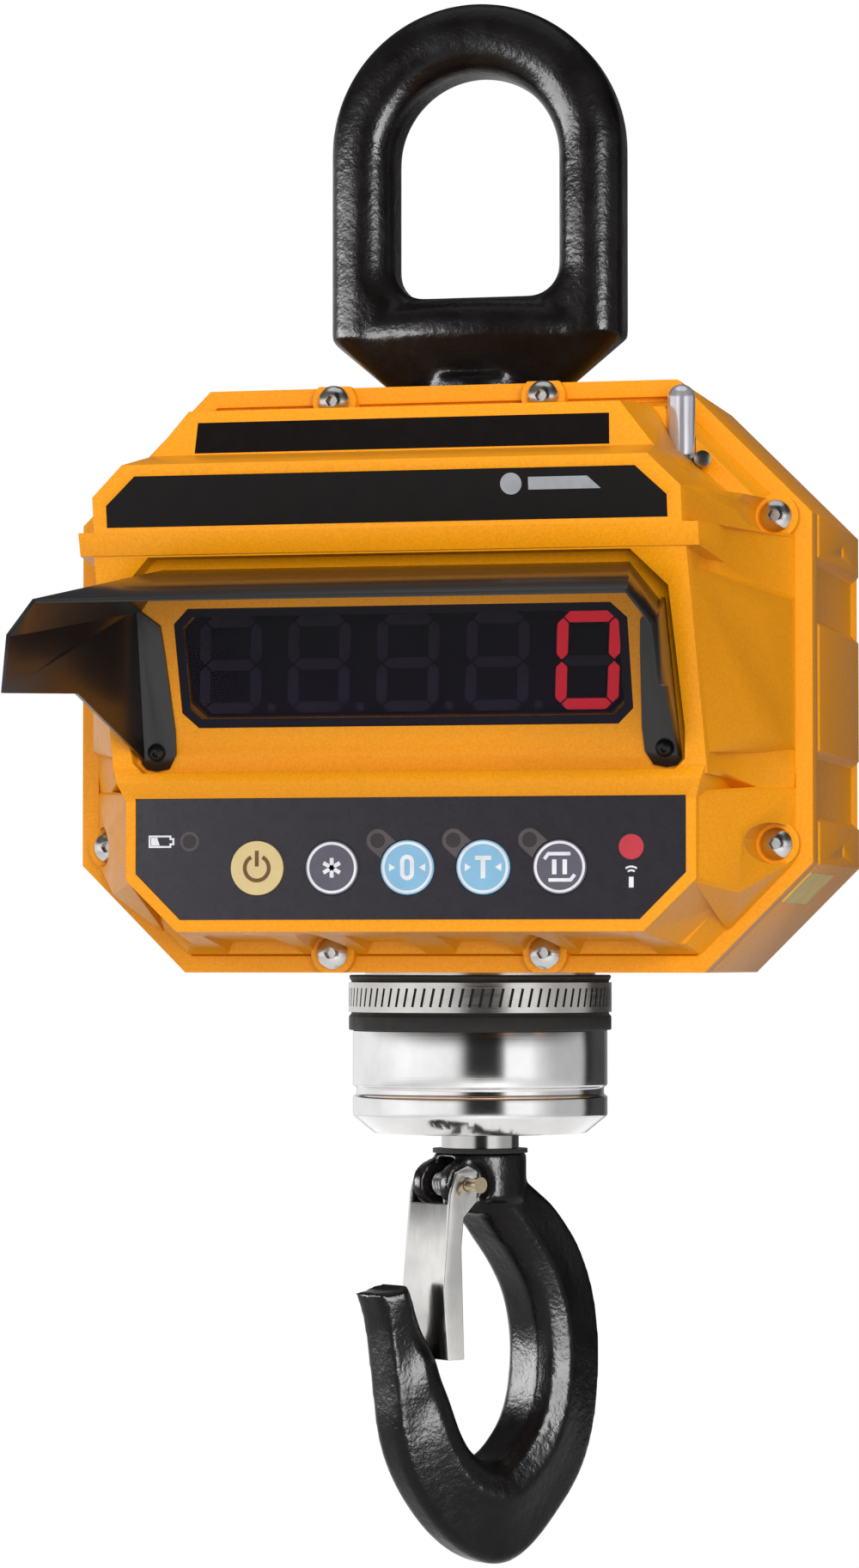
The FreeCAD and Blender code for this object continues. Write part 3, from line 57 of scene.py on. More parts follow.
class Look:
    """A procedural material under construction: a Principled shader and what feeds it."""

    def __init__(self, name, colour, roughness, metallic=0.0, **sockets):
        self.material = bpy.data.materials.new(name)
        self.material.use_nodes = True
        self.tree = self.material.node_tree
        self.shader = self.tree.nodes["Principled BSDF"]
        self.shader.inputs["Base Color"].default_value = (*colour, 1)
        self.shader.inputs["Roughness"].default_value = roughness
        self.shader.inputs["Metallic"].default_value = metallic
        for socket, value in sockets.items():
            self.shader.inputs[socket.replace("_", " ")].default_value = value
        self.place = self.node("ShaderNodeTexCoord").outputs["Object"]

    def node(self, kind, **settings):
        """A new shader node; a setting is a socket's value or else an attribute."""
        made = self.tree.nodes.new(kind)
        for key, value in settings.items():
            if key in made.inputs:
                made.inputs[key].default_value = value
            else:
                setattr(made, key, value)
        return made

    def link(self, source, target):
        self.tree.links.new(source, target)

    def stretched(self, scale):
        """Object coordinates scaled unevenly, for grain that runs one way."""
        mapping = self.node("ShaderNodeMapping")
        mapping.inputs["Scale"].default_value = scale
        self.link(self.place, mapping.inputs["Vector"])
        return mapping.outputs["Vector"]

    def noise(self, size, detail=3.0, place=None):
        """Noise whose blobs are about size metres across."""
        noise = self.node("ShaderNodeTexNoise", Scale=1 / size, Detail=detail, Roughness=0.55)
        self.link(place or self.place, noise.inputs["Vector"])
        return noise.outputs["Fac"]

    def ramp(self, value, low, high, start, end):
        """Maps a value's start..end onto low..high."""
        ramp = self.node("ShaderNodeMapRange")
        for socket, number in (("From Min", start), ("From Max", end), ("To Min", low),
                               ("To Max", high)):
            ramp.inputs[socket].default_value = number
        self.link(value, ramp.inputs["Value"])
        return ramp.outputs["Result"]

    def rough_by(self, value, low, high):
        """Lets a value move the roughness between low and high."""
        self.link(self.ramp(value, low, high, 0.3, 0.7), self.shader.inputs["Roughness"])

    def colour_by(self, value, first, second):
        """Lets a value blend the base colour from first to second."""
        mix = self.node("ShaderNodeMix", data_type="RGBA")
        self.link(self.ramp(value, 0, 1, 0.35, 0.65), mix.inputs["Factor"])
        ends = [socket for socket in mix.inputs if socket.type == "RGBA"]
        for socket, colour in zip(ends, (first, second)):
            socket.default_value = (*colour, 1)
        result = next(item for item in mix.outputs if item.type == "RGBA")
        self.link(result, self.shader.inputs["Base Color"])

    def bump(self, layers):
        """Layers are (value, height in metres), added up into one bump."""
        normal = None
        for value, height in layers:
            bump = self.node("ShaderNodeBump", Strength=1.0, Distance=height)
            self.link(value, bump.inputs["Height"])
            if normal is not None:
                self.link(normal, bump.inputs["Normal"])
            normal = bump.outputs["Normal"]
        self.link(normal, self.shader.inputs["Normal"])


# ---------------------------------------------------------------- materials

LATHE_FEED = 0.00022


def darker(colour, share):
    return tuple(channel * share for channel in colour)


def forged_black():
    """Gloss paint over a pebbled forging."""
    look = Look("forged_black", (0.006, 0.005, 0.005), 0.3, Specular_IOR_Level=0.15)
    look.rough_by(look.noise(0.012), 0.19, 0.30)
    look.colour_by(look.noise(0.02), (0.004, 0.003, 0.003), (0.008, 0.007, 0.007))
    look.bump([(look.noise(0.030, 1.0), 0.0009), (look.noise(0.0036, 2.0), 0.00024),
               (look.noise(0.0014, 2.0), 0.00011)])
    return look.material


def case_paint():
    """Orange stoving enamel with a light orange peel."""
    look = Look("case_paint", (0.80, 0.295, 0.005), 0.4, Specular_IOR_Level=0.3)
    look.colour_by(look.noise(0.0009, 1.0), (0.76, 0.275, 0.004), (0.84, 0.315, 0.006))
    look.rough_by(look.noise(0.006), 0.32, 0.42)
    look.bump([(look.noise(0.03, 1.0), 0.0002), (look.noise(0.0012, 2.0), 0.00003)])
    return look.material


def turned_steel(name, colour):
    """Steel with the fine rings a lathe leaves about the load axis."""
    look = Look(name, colour, 0.18, metallic=1.0)
    rings = look.noise(1.0, 3.0, place=look.stretched((4, 4, 1 / LATHE_FEED)))
    look.rough_by(rings, 0.09, 0.16)
    look.colour_by(look.noise(0.02), darker(colour, 0.88), colour)
    look.bump([(rings, 0.000010)])
    return look.material


def brushed(name, colour, rough=(0.2, 0.34), along=(900, 900, 40), metallic=1.0):
    """Metal with a grain; along gives how fine the grain is each way."""
    look = Look(name, colour, 0.3, metallic=metallic)
    grain = look.noise(1.0, 3.0, place=look.stretched(along))
    look.rough_by(grain, *rough)
    look.colour_by(look.noise(0.01), darker(colour, 0.9), colour)
    look.bump([(grain, 0.000008)])
    return look.material


def plain(name, colour, rough=(0.4, 0.5), grain=0.0009, height=0.00003, vary=0.82, **sockets):
    """Moulded or printed surface: a fine grain, and patches as dark as vary times the colour."""
    look = Look(name, colour, sum(rough) / 2, **sockets)
    look.colour_by(look.noise(0.008), darker(colour, vary), colour)
    look.rough_by(look.noise(0.004), *rough)
    look.bump([(look.noise(grain, 2.0), height)])
    return look.material


def smoked_window():
    """Dark clear plastic that the digits show through."""
    look = Look("smoked_window", (0.004, 0.002, 0.010), 0.06, Alpha=0.5,
                Specular_IOR_Level=0.15)
    look.rough_by(look.noise(0.03), 0.05, 0.1)
    look.colour_by(look.noise(0.05), (0.003, 0.0015, 0.008), (0.006, 0.003, 0.014))
    return look.material


def clear_tube():
    """Clear glassy tube, with streaks that run along it."""
    look = Look("clear_tube", (0.70, 0.72, 0.80), 0.1, metallic=0.7, Alpha=0.92)
    look.rough_by(look.noise(0.004), 0.08, 0.2)
    look.colour_by(look.noise(1.0, place=look.stretched((420, 420, 22))),
                   (0.55, 0.57, 0.66), (0.84, 0.86, 0.92))
    return look.material


def lit_red():
    """A lit bar of the display, which glows by itself."""
    look = Look("segment_on", (0.55, 0.012, 0.02), 0.4, Emission_Color=(1.0, 0.035, 0.06, 1),
                Emission_Strength=1.5)
    look.colour_by(look.noise(0.003), (0.50, 0.010, 0.018), (0.62, 0.02, 0.03))
    return look.material


# one look for every material slot, and one for every print that differs from its slot
MATERIALS = {
    "forged_black": forged_black(),
    "case_paint": case_paint(),
    "cell_steel": brushed("cell_steel", (0.45, 0.45, 0.46)),
    "turned_steel": turned_steel("turned_steel", (0.90, 0.89, 0.89)),
    "bright_steel": brushed("bright_steel", (0.70, 0.69, 0.68), (0.16, 0.26),
                            along=(500, 500, 500)),
    "band_steel": brushed("band_steel", (0.66, 0.65, 0.63), (0.18, 0.28), along=(30, 30, 1400)),
    "pressed_steel": brushed("pressed_steel", (0.80, 0.79, 0.77), (0.15, 0.26),
                             along=(700, 700, 40)),
    "spring_steel": brushed("spring_steel", (0.5, 0.5, 0.5)),
    "pin_brass": brushed("pin_brass", (0.66, 0.54, 0.36), (0.2, 0.32), along=(500, 500, 500)),
    "bush_bronze": turned_steel("bush_steel", (0.62, 0.61, 0.60)),
    "black_screw": brushed("black_screw", (0.02, 0.02, 0.022), (0.25, 0.36),
                           along=(500, 500, 500), metallic=0.7),
    "rubber": plain("rubber", (0.010, 0.010, 0.010), (0.5, 0.65)),
    "gasket_black": plain("gasket_black", (0.010, 0.010, 0.010), (0.6, 0.75)),
    "panel_black": plain("panel_black", (0.007, 0.005, 0.005), (0.36, 0.44), grain=0.0006,
                         height=0.000006, Specular_IOR_Level=0.2),
    "mark_grey": plain("mark_grey", (0.30, 0.31, 0.33), (0.4, 0.5), height=0.000005),
    "smoked_window": smoked_window(),
    "digit_black": plain("digit_black", (0.005, 0.004, 0.009), (0.6, 0.7), grain=0.004,
                         height=0.000003),
    "segment_off": plain("segment_off", (0.17, 0.12, 0.22), (0.5, 0.6), grain=0.004,
                         height=0.000003),
    "segment_on": lit_red(),
    "circuit_board": plain("circuit_board", (0.02, 0.13, 0.06), (0.35, 0.5)),
    "keypad_film": plain("keypad_film", (0.017, 0.015, 0.020), (0.27, 0.28), grain=0.0006,
                         height=0.000003, Specular_IOR_Level=0.15),
    "key_gold": plain("key_gold", (0.63, 0.49, 0.23), (0.4, 0.5), height=0.000005, vary=0.92),
    "key_grey": plain("key_grey", (0.100, 0.092, 0.125), (0.4, 0.5), height=0.000005, vary=0.92),
    "key_blue": plain("key_blue", (0.21, 0.43, 0.62), (0.4, 0.5), height=0.000005, vary=0.94),
    "lamp_grey": plain("lamp_grey", (0.030, 0.024, 0.026), (0.25, 0.35), height=0.000005),
    "receiver_red": plain("receiver_red", (0.50, 0.028, 0.045), (0.2, 0.3), height=0.000005,
                          vary=0.9),
    "hood_black": plain("hood_black", (0.009, 0.008, 0.008), (0.31, 0.35), grain=0.0016,
                        height=0.000001, vary=0.9, Coat_Weight=0.2, Coat_Roughness=0.15),
    "clear_tube": clear_tube(),
    "sticker_yellow": plain("sticker_yellow", (0.80, 0.56, 0.13), (0.4, 0.5), height=0.00001),
    "plate_silver": brushed("plate_silver", (0.62, 0.62, 0.63), (0.28, 0.42),
                            along=(40, 900, 900)),
    "pack_plastic": plain("pack_plastic", (0.018, 0.018, 0.02), (0.45, 0.6)),
    "cell_wrap": plain("cell_wrap", (0.04, 0.12, 0.35), (0.35, 0.5)),
    "contact_gold": brushed("contact_gold", (0.75, 0.55, 0.20)),
    "window_border": plain("window_border", (0.006, 0.004, 0.012), (0.3, 0.34),
                           height=0.000001, Specular_IOR_Level=0.15),
    "print_white": plain("print_white", (0.74, 0.74, 0.77), (0.45, 0.55), height=0.000003),
    "print_brown": plain("print_brown", (0.16, 0.075, 0.025), (0.45, 0.55), height=0.000003),
    "print_grey": plain("print_grey", (0.085, 0.070, 0.074), (0.4, 0.5), height=0.000003),
}


# ---------------------------------------------------------------- mesh helpers

WELD_GAP = 2e-6
FLAT_ANGLE = math.radians(0.6)
SHARP_ANGLE = math.radians(24)
SHADE_ANGLE = math.radians(38)


def paint(thing, look):
    """Gives an object one look all over."""
    thing.data.materials.clear()
    thing.data.materials.append(MATERIALS[look])


def mesh_from(name, shape):
    """Turns a finished bmesh into a mesh and lets the bmesh go."""
    mesh = bpy.data.meshes.new(name)
    shape.to_mesh(mesh)
    shape.free()
    return mesh


def new_piece(name, mesh, body, slot, look=None):
    """Adds a visual piece to a body; look names its material where the slot's own isn't it."""
    piece = bpy.data.objects.new(name, mesh)
    bpy.context.scene.collection.objects.link(piece)
    paint(piece, look or slot)
    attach(piece, body)
    return piece


def welded(node):
    """A copy of a CAD node's mesh with its split corners joined and its flat faces whole."""
    shape = bmesh.new()
    shape.from_mesh(NODES[node].data)
    bmesh.ops.remove_doubles(shape, verts=shape.verts, dist=WELD_GAP)
    bmesh.ops.dissolve_limit(shape, angle_limit=FLAT_ANGLE, verts=shape.verts,
                             edges=shape.edges)
    return mesh_from(f"{node}_soft", shape)


def modified(mesh, *modifiers):
    """The mesh with modifiers applied; each is (kind, {setting: value})."""
    carrier = bpy.data.objects.new("carrier", mesh)
    bpy.context.scene.collection.objects.link(carrier)
    for kind, settings in modifiers:
        modifier = carrier.modifiers.new(kind, kind)
        for key, value in settings.items():
            setattr(modifier, key, value)
    seen = carrier.evaluated_get(bpy.context.evaluated_depsgraph_get())
    result = bpy.data.meshes.new_from_object(seen)
    bpy.data.objects.remove(carrier)
    return result


def softened(node, body, width):
    """Stands a copy with rounded edges in for a CAD node with sharp ones."""
    mesh = modified(welded(node), ("BEVEL", {
        "width": width, "segments": 2, "limit_method": "ANGLE", "angle_limit": SHARP_ANGLE,
        "use_clamp_overlap": True, "miter_outer": "MITER_ARC"}))
    mesh.shade_smooth()
    mesh.set_sharp_from_angle(angle=SHADE_ANGLE)
    piece = new_piece(f"{node}_soft", mesh, body, SLOT_OF[node])
    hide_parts(node)


def forged(node, body, voxel, smooth):
    """Stands a remeshed, smoothed copy in for a forging, so its edges are rounded over."""
    mesh = modified(welded(node),
                    ("REMESH", {"mode": "VOXEL", "voxel_size": voxel}),
                    ("SMOOTH", {"factor": 0.5, "iterations": smooth}))
    mesh.shade_smooth()
    piece = new_piece(f"{node}_forged", mesh, body, SLOT_OF[node])
    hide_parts(node)
    return piece


# ---------------------------------------------------------------- printed symbols

PRINT_THICK = 0.06 * MM
MASK_WIDE = 3.7 * MM
MITRE_LIMIT = 0.4


def stroke(points, width, closed=False):
    """The quads of a band of even width along points in the X-Z plane, mitred at corners."""
    count = len(points)
    sides = []
    for index, point in enumerate(points):
        before = points[index - 1] if closed or index > 0 else None
        after = points[(index + 1) % count] if closed or index < count - 1 else None
        ways = [(b - a).normalized() for a, b in ((before, point), (point, after))
                if a is not None and b is not None]
        normals = [Vector((-way.y, way.x)) for way in ways]
        across = sum(normals, Vector((0, 0))).normalized()
        reach = width / 2 / max(across.dot(normals[0]), MITRE_LIMIT)
        sides.append((point + across * reach, point - across * reach))
    pairs = list(zip(sides, sides[1:] + sides[:1]))
    if not closed:
        pairs.pop()
    return [[a[0], a[1], b[1], b[0]] for a, b in pairs]


def path(*points):
    """Points from bare pairs of numbers."""
    return [Vector(point) for point in points]


def arc(radius, start=0, end=360, steps=40, centre=(0, 0)):
    """Points along an arc; angles are in degrees, anticlockwise from the right."""
    turns = [math.radians(start + (end - start) * step / steps) for step in range(steps + 1)]
    return [Vector((centre[0] + radius * math.cos(turn), centre[1] + radius * math.sin(turn)))
            for turn in turns]


def circle(radius, width):
    """A ring about the origin, as a closed stroke."""
    return stroke(arc(radius)[:-1], width, closed=True)


def printed(name, polygons, at, body, look):
    """A printed mark: flat polygons in millimetres about a point on a surface facing -Y."""
    shape = bmesh.new()
    for polygon in polygons:
        front = [shape.verts.new((at[0] + p.x * MM, at[1] - PRINT_THICK, at[2] + p.y * MM))
                 for p in polygon]
        back = [shape.verts.new((v.co.x, at[1], v.co.z)) for v in front]
        shape.faces.new(front)
        for index in range(len(front)):
            following = (index + 1) % len(front)
            shape.faces.new((front[index], back[index], back[following], front[following]))
    bmesh.ops.recalc_face_normals(shape, faces=shape.faces)
    new_piece(name, mesh_from(name, shape), body, "mark_grey", look)


def pointers():
    """Two small triangles that point inwards from either side of a key's symbol."""
    right = path((-7.0, 1.5), (-4.6, 0), (-7.0, -1.5))
    return [right, [Vector((-p.x, p.y)) for p in right]]


# sizes on the keys and on the keypad's film, in millimetres
RIM_RADIUS = 9.2
RIM_WIDE = 1.0
STAR_REACH = 3.7


def key_symbols():
    """Each key's symbol as flat polygons about the key's middle, with its colour."""
    zero = arc(1.9, 0, 180, 12, (0, 2.1)) + arc(1.9, 180, 360, 12, (0, -2.1))
    star = []
    for turn in (30, 90, 150):
        x = math.cos(math.radians(turn)) * STAR_REACH
        y = math.sin(math.radians(turn)) * STAR_REACH
        star += stroke(path((-x, -y), (x, y)), 1.5)
    uprights = (stroke(path((-2.0, -2.8), (-2.0, 2.8)), 1.7)
                + stroke(path((2.0, -2.8), (2.0, 2.8)), 1.7))
    brackets = (stroke(path((-5.8, 2.9), (-4.2, 4.9), (4.2, 4.9)), 1.3)
                + stroke(path((5.8, -2.9), (4.2, -4.9), (-4.2, -4.9)), 1.3))
    return {
        "power": (stroke(arc(4.7, 118, 422), 1.5) + stroke(path((0, 0.6), (0, 6.6)), 1.5),
                  "print_brown"),
        "function": (star, "print_white"),
        "zero": (stroke(zero, 1.6, closed=True) + pointers(), "print_white"),
        "tare": (stroke(path((-3.1, 3.5), (3.1, 3.5)), 1.6)
                 + stroke(path((0, 2.7), (0, -4.2)), 1.8) + pointers(), "print_white"),
        "hold": (uprights + brackets, "print_white"),
    }


def window_mask():
    """The black border printed round the display window's front."""
    shape = bmesh.new()
    shape.from_mesh(welded("display_window"))
    shape.faces.ensure_lookup_table()
    front = max((face for face in shape.faces if face.normal.y < -0.5),
                key=lambda face: face.calc_area())
    out = front.normal.copy()
    border = bmesh.ops.inset_region(shape, faces=[front], thickness=MASK_WIDE)["faces"]
    bmesh.ops.delete(shape, geom=[face for face in shape.faces if face not in border],
                     context="FACES")
    raised = bmesh.ops.extrude_face_region(shape, geom=shape.faces[:])["geom"]
    bmesh.ops.translate(shape, vec=out * PRINT_THICK,
                        verts=[item for item in raised if isinstance(item, bmesh.types.BMVert)])
    bmesh.ops.recalc_face_normals(shape, faces=shape.faces)
    new_piece("window_mask", mesh_from("window_mask", shape), "scale", "smoked_window",
              "window_border")


def front_of(node):
    """The middle of a node's face that looks towards -Y."""
    low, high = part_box(node)
    return Vector(((low[0] + high[0]) / 2, low[1], (low[2] + high[2]) / 2))


def key_prints():
    """A symbol on every key, and a white rim on every key but the power key."""
    for name, (polygons, look) in key_symbols().items():
        body = f"{name}_key"
        at = front_of(f"key_{name}")
        printed(f"{name}_symbol", polygons, at, body, look)
        if name != "power":
            printed(f"{name}_rim", circle(RIM_RADIUS, RIM_WIDE), at, body, "print_white")


# a tinted band starts at LAMP_EDGE round its lamp's middle and ends at KEY_EDGE round its key's
LAMP_EDGE = 2.8
LAMP_ASIDE = 11.5
SURROUND_HALF = 4.3
SURROUND_STEPS = 24
KEY_EDGE = 10.9
LOW_LAMP_RIM = 3.2
LOW_LAMP_WIDE = 1.0
BATTERY_ASIDE = 11.2
REMOTE_BELOW = 10.6


def lamp_surround(lamp, key):
    """The tinted band round a lamp and on to its key, as quads about the origin."""
    way = (key - lamp).normalized()
    side = Vector((-way.y, way.x))
    reach = (key - lamp).length
    near = []
    far = []
    for step in range(SURROUND_STEPS + 1):
        aside = SURROUND_HALF * (2 * step / SURROUND_STEPS - 1)
        inner = math.sqrt(max(LAMP_EDGE ** 2 - aside ** 2, 0))
        outer = reach - math.sqrt(KEY_EDGE ** 2 - aside ** 2)
        near.append(lamp + side * aside + way * inner)
        far.append(lamp + side * aside + way * outer)
    quads = [[near[i], far[i], far[i + 1], near[i + 1]] for i in range(SURROUND_STEPS)]
    turn = math.degrees(math.atan2(way.y, way.x))
    middle = (LAMP_EDGE + SURROUND_HALF) / 2
    back = stroke(arc(middle, turn + 90, turn + 270, SURROUND_STEPS, lamp),
                  SURROUND_HALF - LAMP_EDGE)
    return quads + back


def on_film(x, z):
    """A point on the front of the keypad's film; x and z are in millimetres."""
    return Vector((x * MM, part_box("keypad_overlay")[0][1], z * MM))


def overlay_prints():
    """The lamps' surrounds, the low-battery lamp's rim, and the two symbols on the film."""
    lamps_low, lamps_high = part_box("lamp_windows")
    lamp_z = (lamps_low[2] + lamps_high[2]) / 2 / MM
    lamp_radius = (lamps_high[2] - lamps_low[2]) / 2 / MM
    for name in ("zero", "tare", "hold"):
        key = front_of(f"key_{name}") / MM
        lamp = Vector((key.x - LAMP_ASIDE, lamp_z))
        printed(f"{name}_lamp_surround", lamp_surround(lamp, Vector((key.x, key.z))),
                on_film(0, 0), "scale", "print_grey")
    low_lamp = lamps_low[0] / MM + lamp_radius
    printed("low_lamp_rim", circle(LOW_LAMP_RIM, LOW_LAMP_WIDE), on_film(low_lamp, lamp_z),
            "scale", "print_grey")
    printed("battery_symbol", battery_symbol(), on_film(low_lamp - BATTERY_ASIDE, lamp_z),
            "scale", "print_white")
    receiver = front_of("receiver_window") / MM
    printed("remote_symbol", remote_symbol(), on_film(receiver.x, receiver.z - REMOTE_BELOW),
            "scale", "print_white")


def battery_symbol():
    """A battery's outline, half filled."""
    shell = path((-4.6, -2.0), (3.6, -2.0), (3.6, -1.0), (4.8, -1.0), (4.8, 1.0), (3.6, 1.0),
                 (3.6, 2.0), (-4.6, 2.0))
    charge = path((-4.0, -1.5), (-0.6, -1.5), (-1.6, 1.5), (-4.0, 1.5))
    return stroke(shell, 0.7, closed=True) + [charge]


def remote_symbol():
    """A remote control with two waves above it."""
    handset = path((-0.9, -4.6), (0.9, -4.6), (0.9, -0.6), (-0.9, -0.6))
    waves = [stroke(arc(radius, start, 180 - start, 10, (0, -0.2)), 0.7)
             for radius, start in ((2.0, 50), (3.4, 52))]
    return [handset] + waves[0] + waves[1]


# ---------------------------------------------------------------- studio and camera

# places and lengths in metres, angles in degrees, lamps in watts
CAMERA_TURN = 12.9
CAMERA_RISE = 2.085
CAMERA_LENS = 112.44
CAMERA_AWAY = 1.965
CAMERA_ASIDE = 0.0203
CAMERA_LEVEL = -0.357
# brightness of the room round the object: (share of a turn from -X through -Y, value)
AROUND = ((0.0, 0.98), (0.019, 1.02), (0.072, 1.12), (0.119, 1.08), (0.161, 0.98),
          (0.214, 0.95), (0.230, 0.72), (0.250, 0.12), (0.261, 0.02), (0.325, 0.02),
          (0.339, 0.15), (0.352, 1.12), (0.411, 1.12), (0.444, 0.76), (0.466, 0.60),
          (0.489, 0.52), (0.575, 0.50), (0.597, 0.02), (0.641, 0.06), (0.702, 0.06),
          (0.772, 0.35), (0.833, 0.92))
# the share of it left at each height, from straight down (0) to straight up (1)
LEVELS = ((0, 0.08), (0.22, 0.10), (0.36, 1.0), (0.58, 1.0), (0.66, 0.10), (1, 0.10))
# and what is added near straight up
OVERHEAD = ((0, 0.0), (0.90, 0.0), (0.95, 0.6), (1, 0.6))
# light on matt surfaces: it grows along DAYLIGHT from AMBIENT
DAYLIGHT = Vector((-0.20, -0.48, 0.24))
AMBIENT = 0.52
# wide lamps: name, place, size, power
SOFT_LIGHTS = (("soft_front", (0.8, -2.0, 0.0), (0.9, 0.9), 28),
               ("soft_rear", (-0.7, 2.0, 0.5), (0.9, 0.9), 27))
CENTRE = Vector((0, 0, -0.28))
FLOOR_LEVEL = -0.95
FLOOR_RADIUS = 2.6
# panels that only dark gloss shows: name, place, size, power
PANELS = (("panel_left", (-1.414, -0.749, -0.29), (2.2, 0.8), 165),
          ("panel_right", (1.224, -1.03, -0.36), (0.7, 0.94), 80))


def soft_light(name, at, size, power, towards):
    """A rectangular lamp at a place, turned towards a point."""
    light = bpy.data.lights.new(name, "AREA")
    light.shape = "RECTANGLE"
    light.size, light.size_y = size
    light.energy = power
    lamp = bpy.data.objects.new(name, light)
    lamp.location = at
    lamp.rotation_euler = (towards - Vector(at)).to_track_quat("-Z", "Y").to_euler()
    bpy.context.scene.collection.objects.link(lamp)
    return lamp


def gloss_panels(pieces):
    """Panels turned towards the load axis, which only these pieces reflect: sheen on black gloss."""
    group = bpy.data.collections.new("dark_gloss")
    for piece in pieces:
        group.objects.link(piece)
    for name, at, size, power in PANELS:
        lamp = soft_light(name, at, size, power, Vector((0, 0, at[2])))
        lamp.visible_diffuse = False
        lamp.light_linking.receiver_collection = group


def steps(tree, value, stops):
    """A value looked up in (position, brightness) stops."""
    ramp = tree.nodes.new("ShaderNodeValToRGB")
    elements = ramp.color_ramp.elements
    elements.remove(elements[-1])
    elements[0].position = stops[0][0]
    elements[0].color = (stops[0][1],) * 3 + (1,)
    for position, bright in stops[1:]:
        elements.new(position).color = (bright,) * 3 + (1,)
    tree.links.new(value, ramp.inputs["Fac"])
    return ramp.outputs["Color"]


def worked_out(tree, operation, *terms):
    """The result of an operation on numbers and on other nodes' results."""
    maths = tree.nodes.new("ShaderNodeMath")
    maths.operation = operation
    for socket, term in zip(maths.inputs, terms):
        if isinstance(term, float):
            socket.default_value = term
        else:
            tree.links.new(term, socket)
    return maths.outputs["Value"]


def room(tree, way):
    """What glossy surfaces see each way: bright and dark panels all round."""
    turn = tree.nodes.new("ShaderNodeTexGradient")
    turn.gradient_type = "RADIAL"
    tree.links.new(way, turn.inputs["Vector"])
    split = tree.nodes.new("ShaderNodeSeparateXYZ")
    tree.links.new(way, split.inputs["Vector"])
    height = worked_out(tree, "MULTIPLY_ADD", split.outputs["Z"], 0.5, 0.5)
    return worked_out(tree, "MULTIPLY_ADD", steps(tree, turn.outputs["Fac"], AROUND),
                      steps(tree, height, LEVELS), steps(tree, height, OVERHEAD))


def fill(tree, way):
    """What matt surfaces receive from each way: AMBIENT, more along DAYLIGHT, less against it."""
    lean = tree.nodes.new("ShaderNodeVectorMath")
    lean.operation = "DOT_PRODUCT"
    lean.inputs[1].default_value = DAYLIGHT
    tree.links.new(way, lean.inputs[0])
    return worked_out(tree, "ADD", lean.outputs["Value"], AMBIENT)


def background(tree, brightness=None):
    """A background as bright as another node says, or else plain white."""
    shader = tree.nodes.new("ShaderNodeBackground")
    if brightness is None:
        shader.inputs["Color"].default_value = (1, 1, 1, 1)
    else:
        tree.links.new(brightness, shader.inputs["Color"])
    return shader.outputs["Background"]


def either(tree, choice, first, second):
    """The first background where the choice is 0 and the second where it is 1."""
    mix = tree.nodes.new("ShaderNodeMixShader")
    for socket, source in zip(mix.inputs, (choice, first, second)):
        tree.links.new(source, socket)
    return mix.outputs["Shader"]


def studio():
    """A world that is white to the camera, a room to gloss and soft fill to the rest."""
    world = bpy.data.worlds.new("studio")
    bpy.context.scene.world = world
    world.use_nodes = True
    tree = world.node_tree
    tree.nodes.clear()
    way = tree.nodes.new("ShaderNodeTexCoord").outputs["Generated"]
    rays = tree.nodes.new("ShaderNodeLightPath").outputs
    unseen = either(tree, rays["Is Glossy Ray"], background(tree, fill(tree, way)),
                    background(tree, room(tree, way)))
    whole = either(tree, rays["Is Camera Ray"], unseen, background(tree))
    output = tree.nodes.new("ShaderNodeOutputWorld")
    tree.links.new(whole, output.inputs["Surface"])
    bpy.context.scene.view_settings.view_transform = "Standard"


def soft_lights():
    """The two wide lamps in front and behind, which leave no reflection of themselves."""
    for name, at, size, power in SOFT_LIGHTS:
        soft_light(name, at, size, power, CENTRE).visible_glossy = False


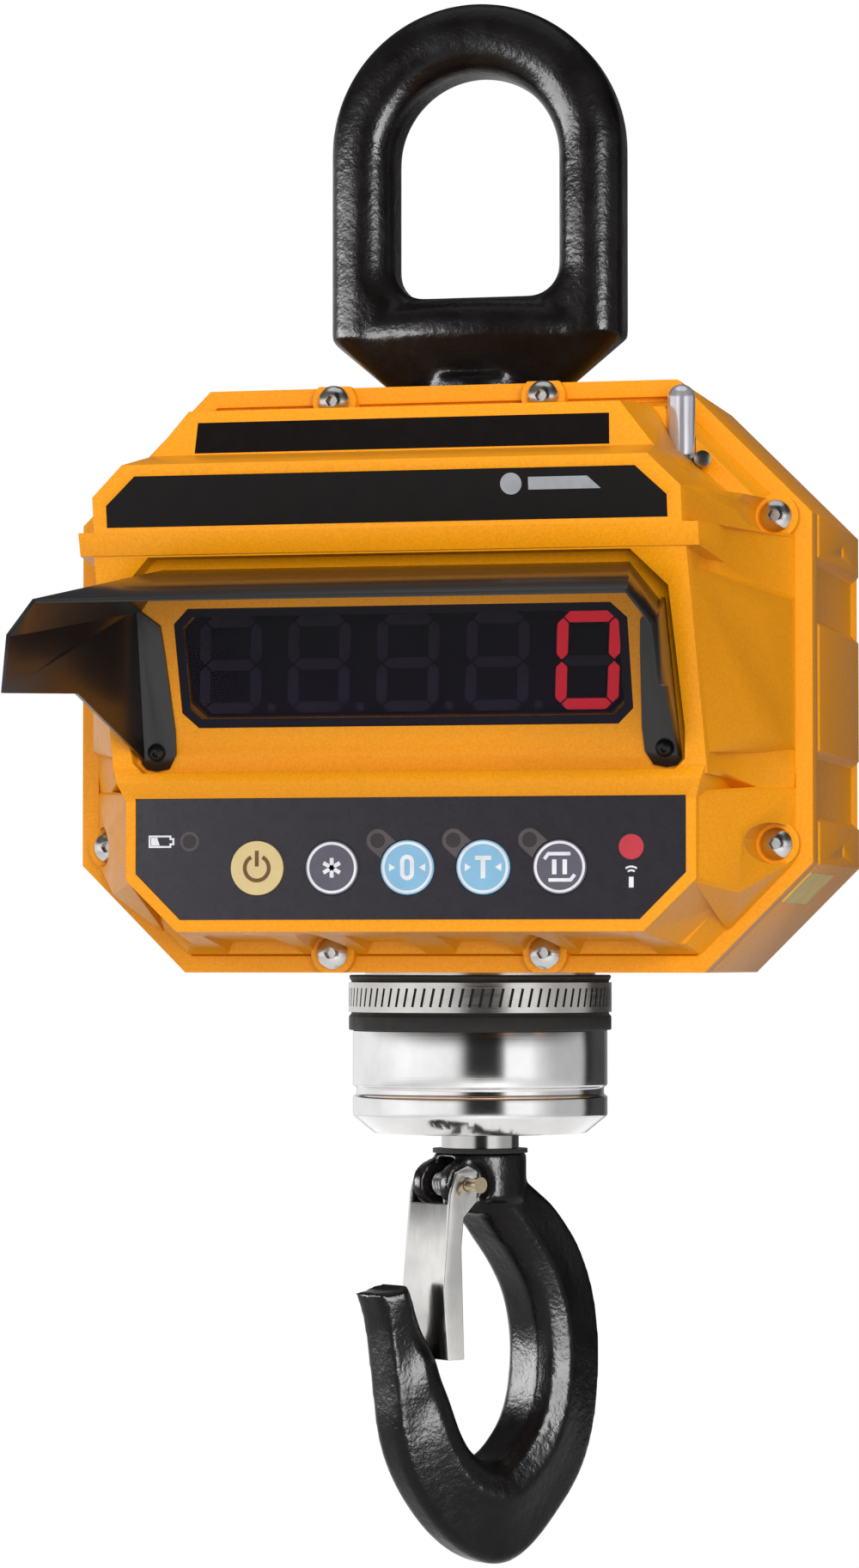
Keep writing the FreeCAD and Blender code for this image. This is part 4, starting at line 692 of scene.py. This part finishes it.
def pale_floor():
    """A round pale floor well below the hook."""
    shape = bmesh.new()
    bmesh.ops.create_circle(shape, cap_ends=True, segments=96, radius=FLOOR_RADIUS)
    mesh = mesh_from("floor", shape)
    floor = bpy.data.objects.new("floor", mesh)
    floor.location = (0, 0, FLOOR_LEVEL)
    look = Look("pale_floor", (0.86, 0.86, 0.85), 0.6)
    look.colour_by(look.noise(0.4), (0.84, 0.84, 0.83), (0.88, 0.88, 0.87))
    mesh.materials.append(look.material)
    bpy.context.scene.collection.objects.link(floor)
    floor.visible_diffuse = False


def camera():
    """A long lens level with the foot of the case, a little to the right of square."""
    data = bpy.data.cameras.new("camera")
    data.sensor_width = 36
    data.lens = CAMERA_LENS
    view = bpy.data.objects.new("camera", data)
    turn, rise = math.radians(CAMERA_TURN), math.radians(CAMERA_RISE)
    view.location = (CAMERA_AWAY * math.sin(turn) - CAMERA_ASIDE * math.cos(turn),
                     -CAMERA_AWAY * math.cos(turn) - CAMERA_ASIDE * math.sin(turn),
                     CAMERA_LEVEL)
    aim = Vector((-math.sin(turn) * math.cos(rise), math.cos(turn) * math.cos(rise),
                  math.sin(rise)))
    view.rotation_euler = aim.to_track_quat("-Z", "Y").to_euler()
    bpy.context.scene.collection.objects.link(view)
    bpy.context.scene.camera = view


# ---------------------------------------------------------------- build

# CAD nodes that get rounded edges: node, body, width of the rounding in millimetres
SOFT_EDGES = (
    ("front_cover", "scale", 0.9), ("rear_housing", "scale", 1.2),
    ("battery_cover", "battery_pack", 0.8), ("sun_hood", "scale", 0.35),
    ("battery_handle", "battery_pack", 1.0), ("latch", "hook_latch", 0.4),
    ("load_housing", "scale", 0.5), ("boot_sleeve", "scale", 0.6),
    ("clamp_screw", "scale", 0.4), ("tube_fitting", "scale", 0.3))

for node, thing in NODES.items():
    paint(thing, SLOT_OF[node])

studio()
soft_lights()
pale_floor()
camera()
for node, body, width in SOFT_EDGES:
    softened(node, body, width * MM)
ring = forged("crane_eye", "scale", voxel=1.5 * MM, smooth=8)
hook = forged("hook", "swivel_hook", voxel=1.1 * MM, smooth=10)
key_prints()
overlay_prints()
window_mask()
gloss_panels((ring, hook, NODES["keypad_overlay"]))
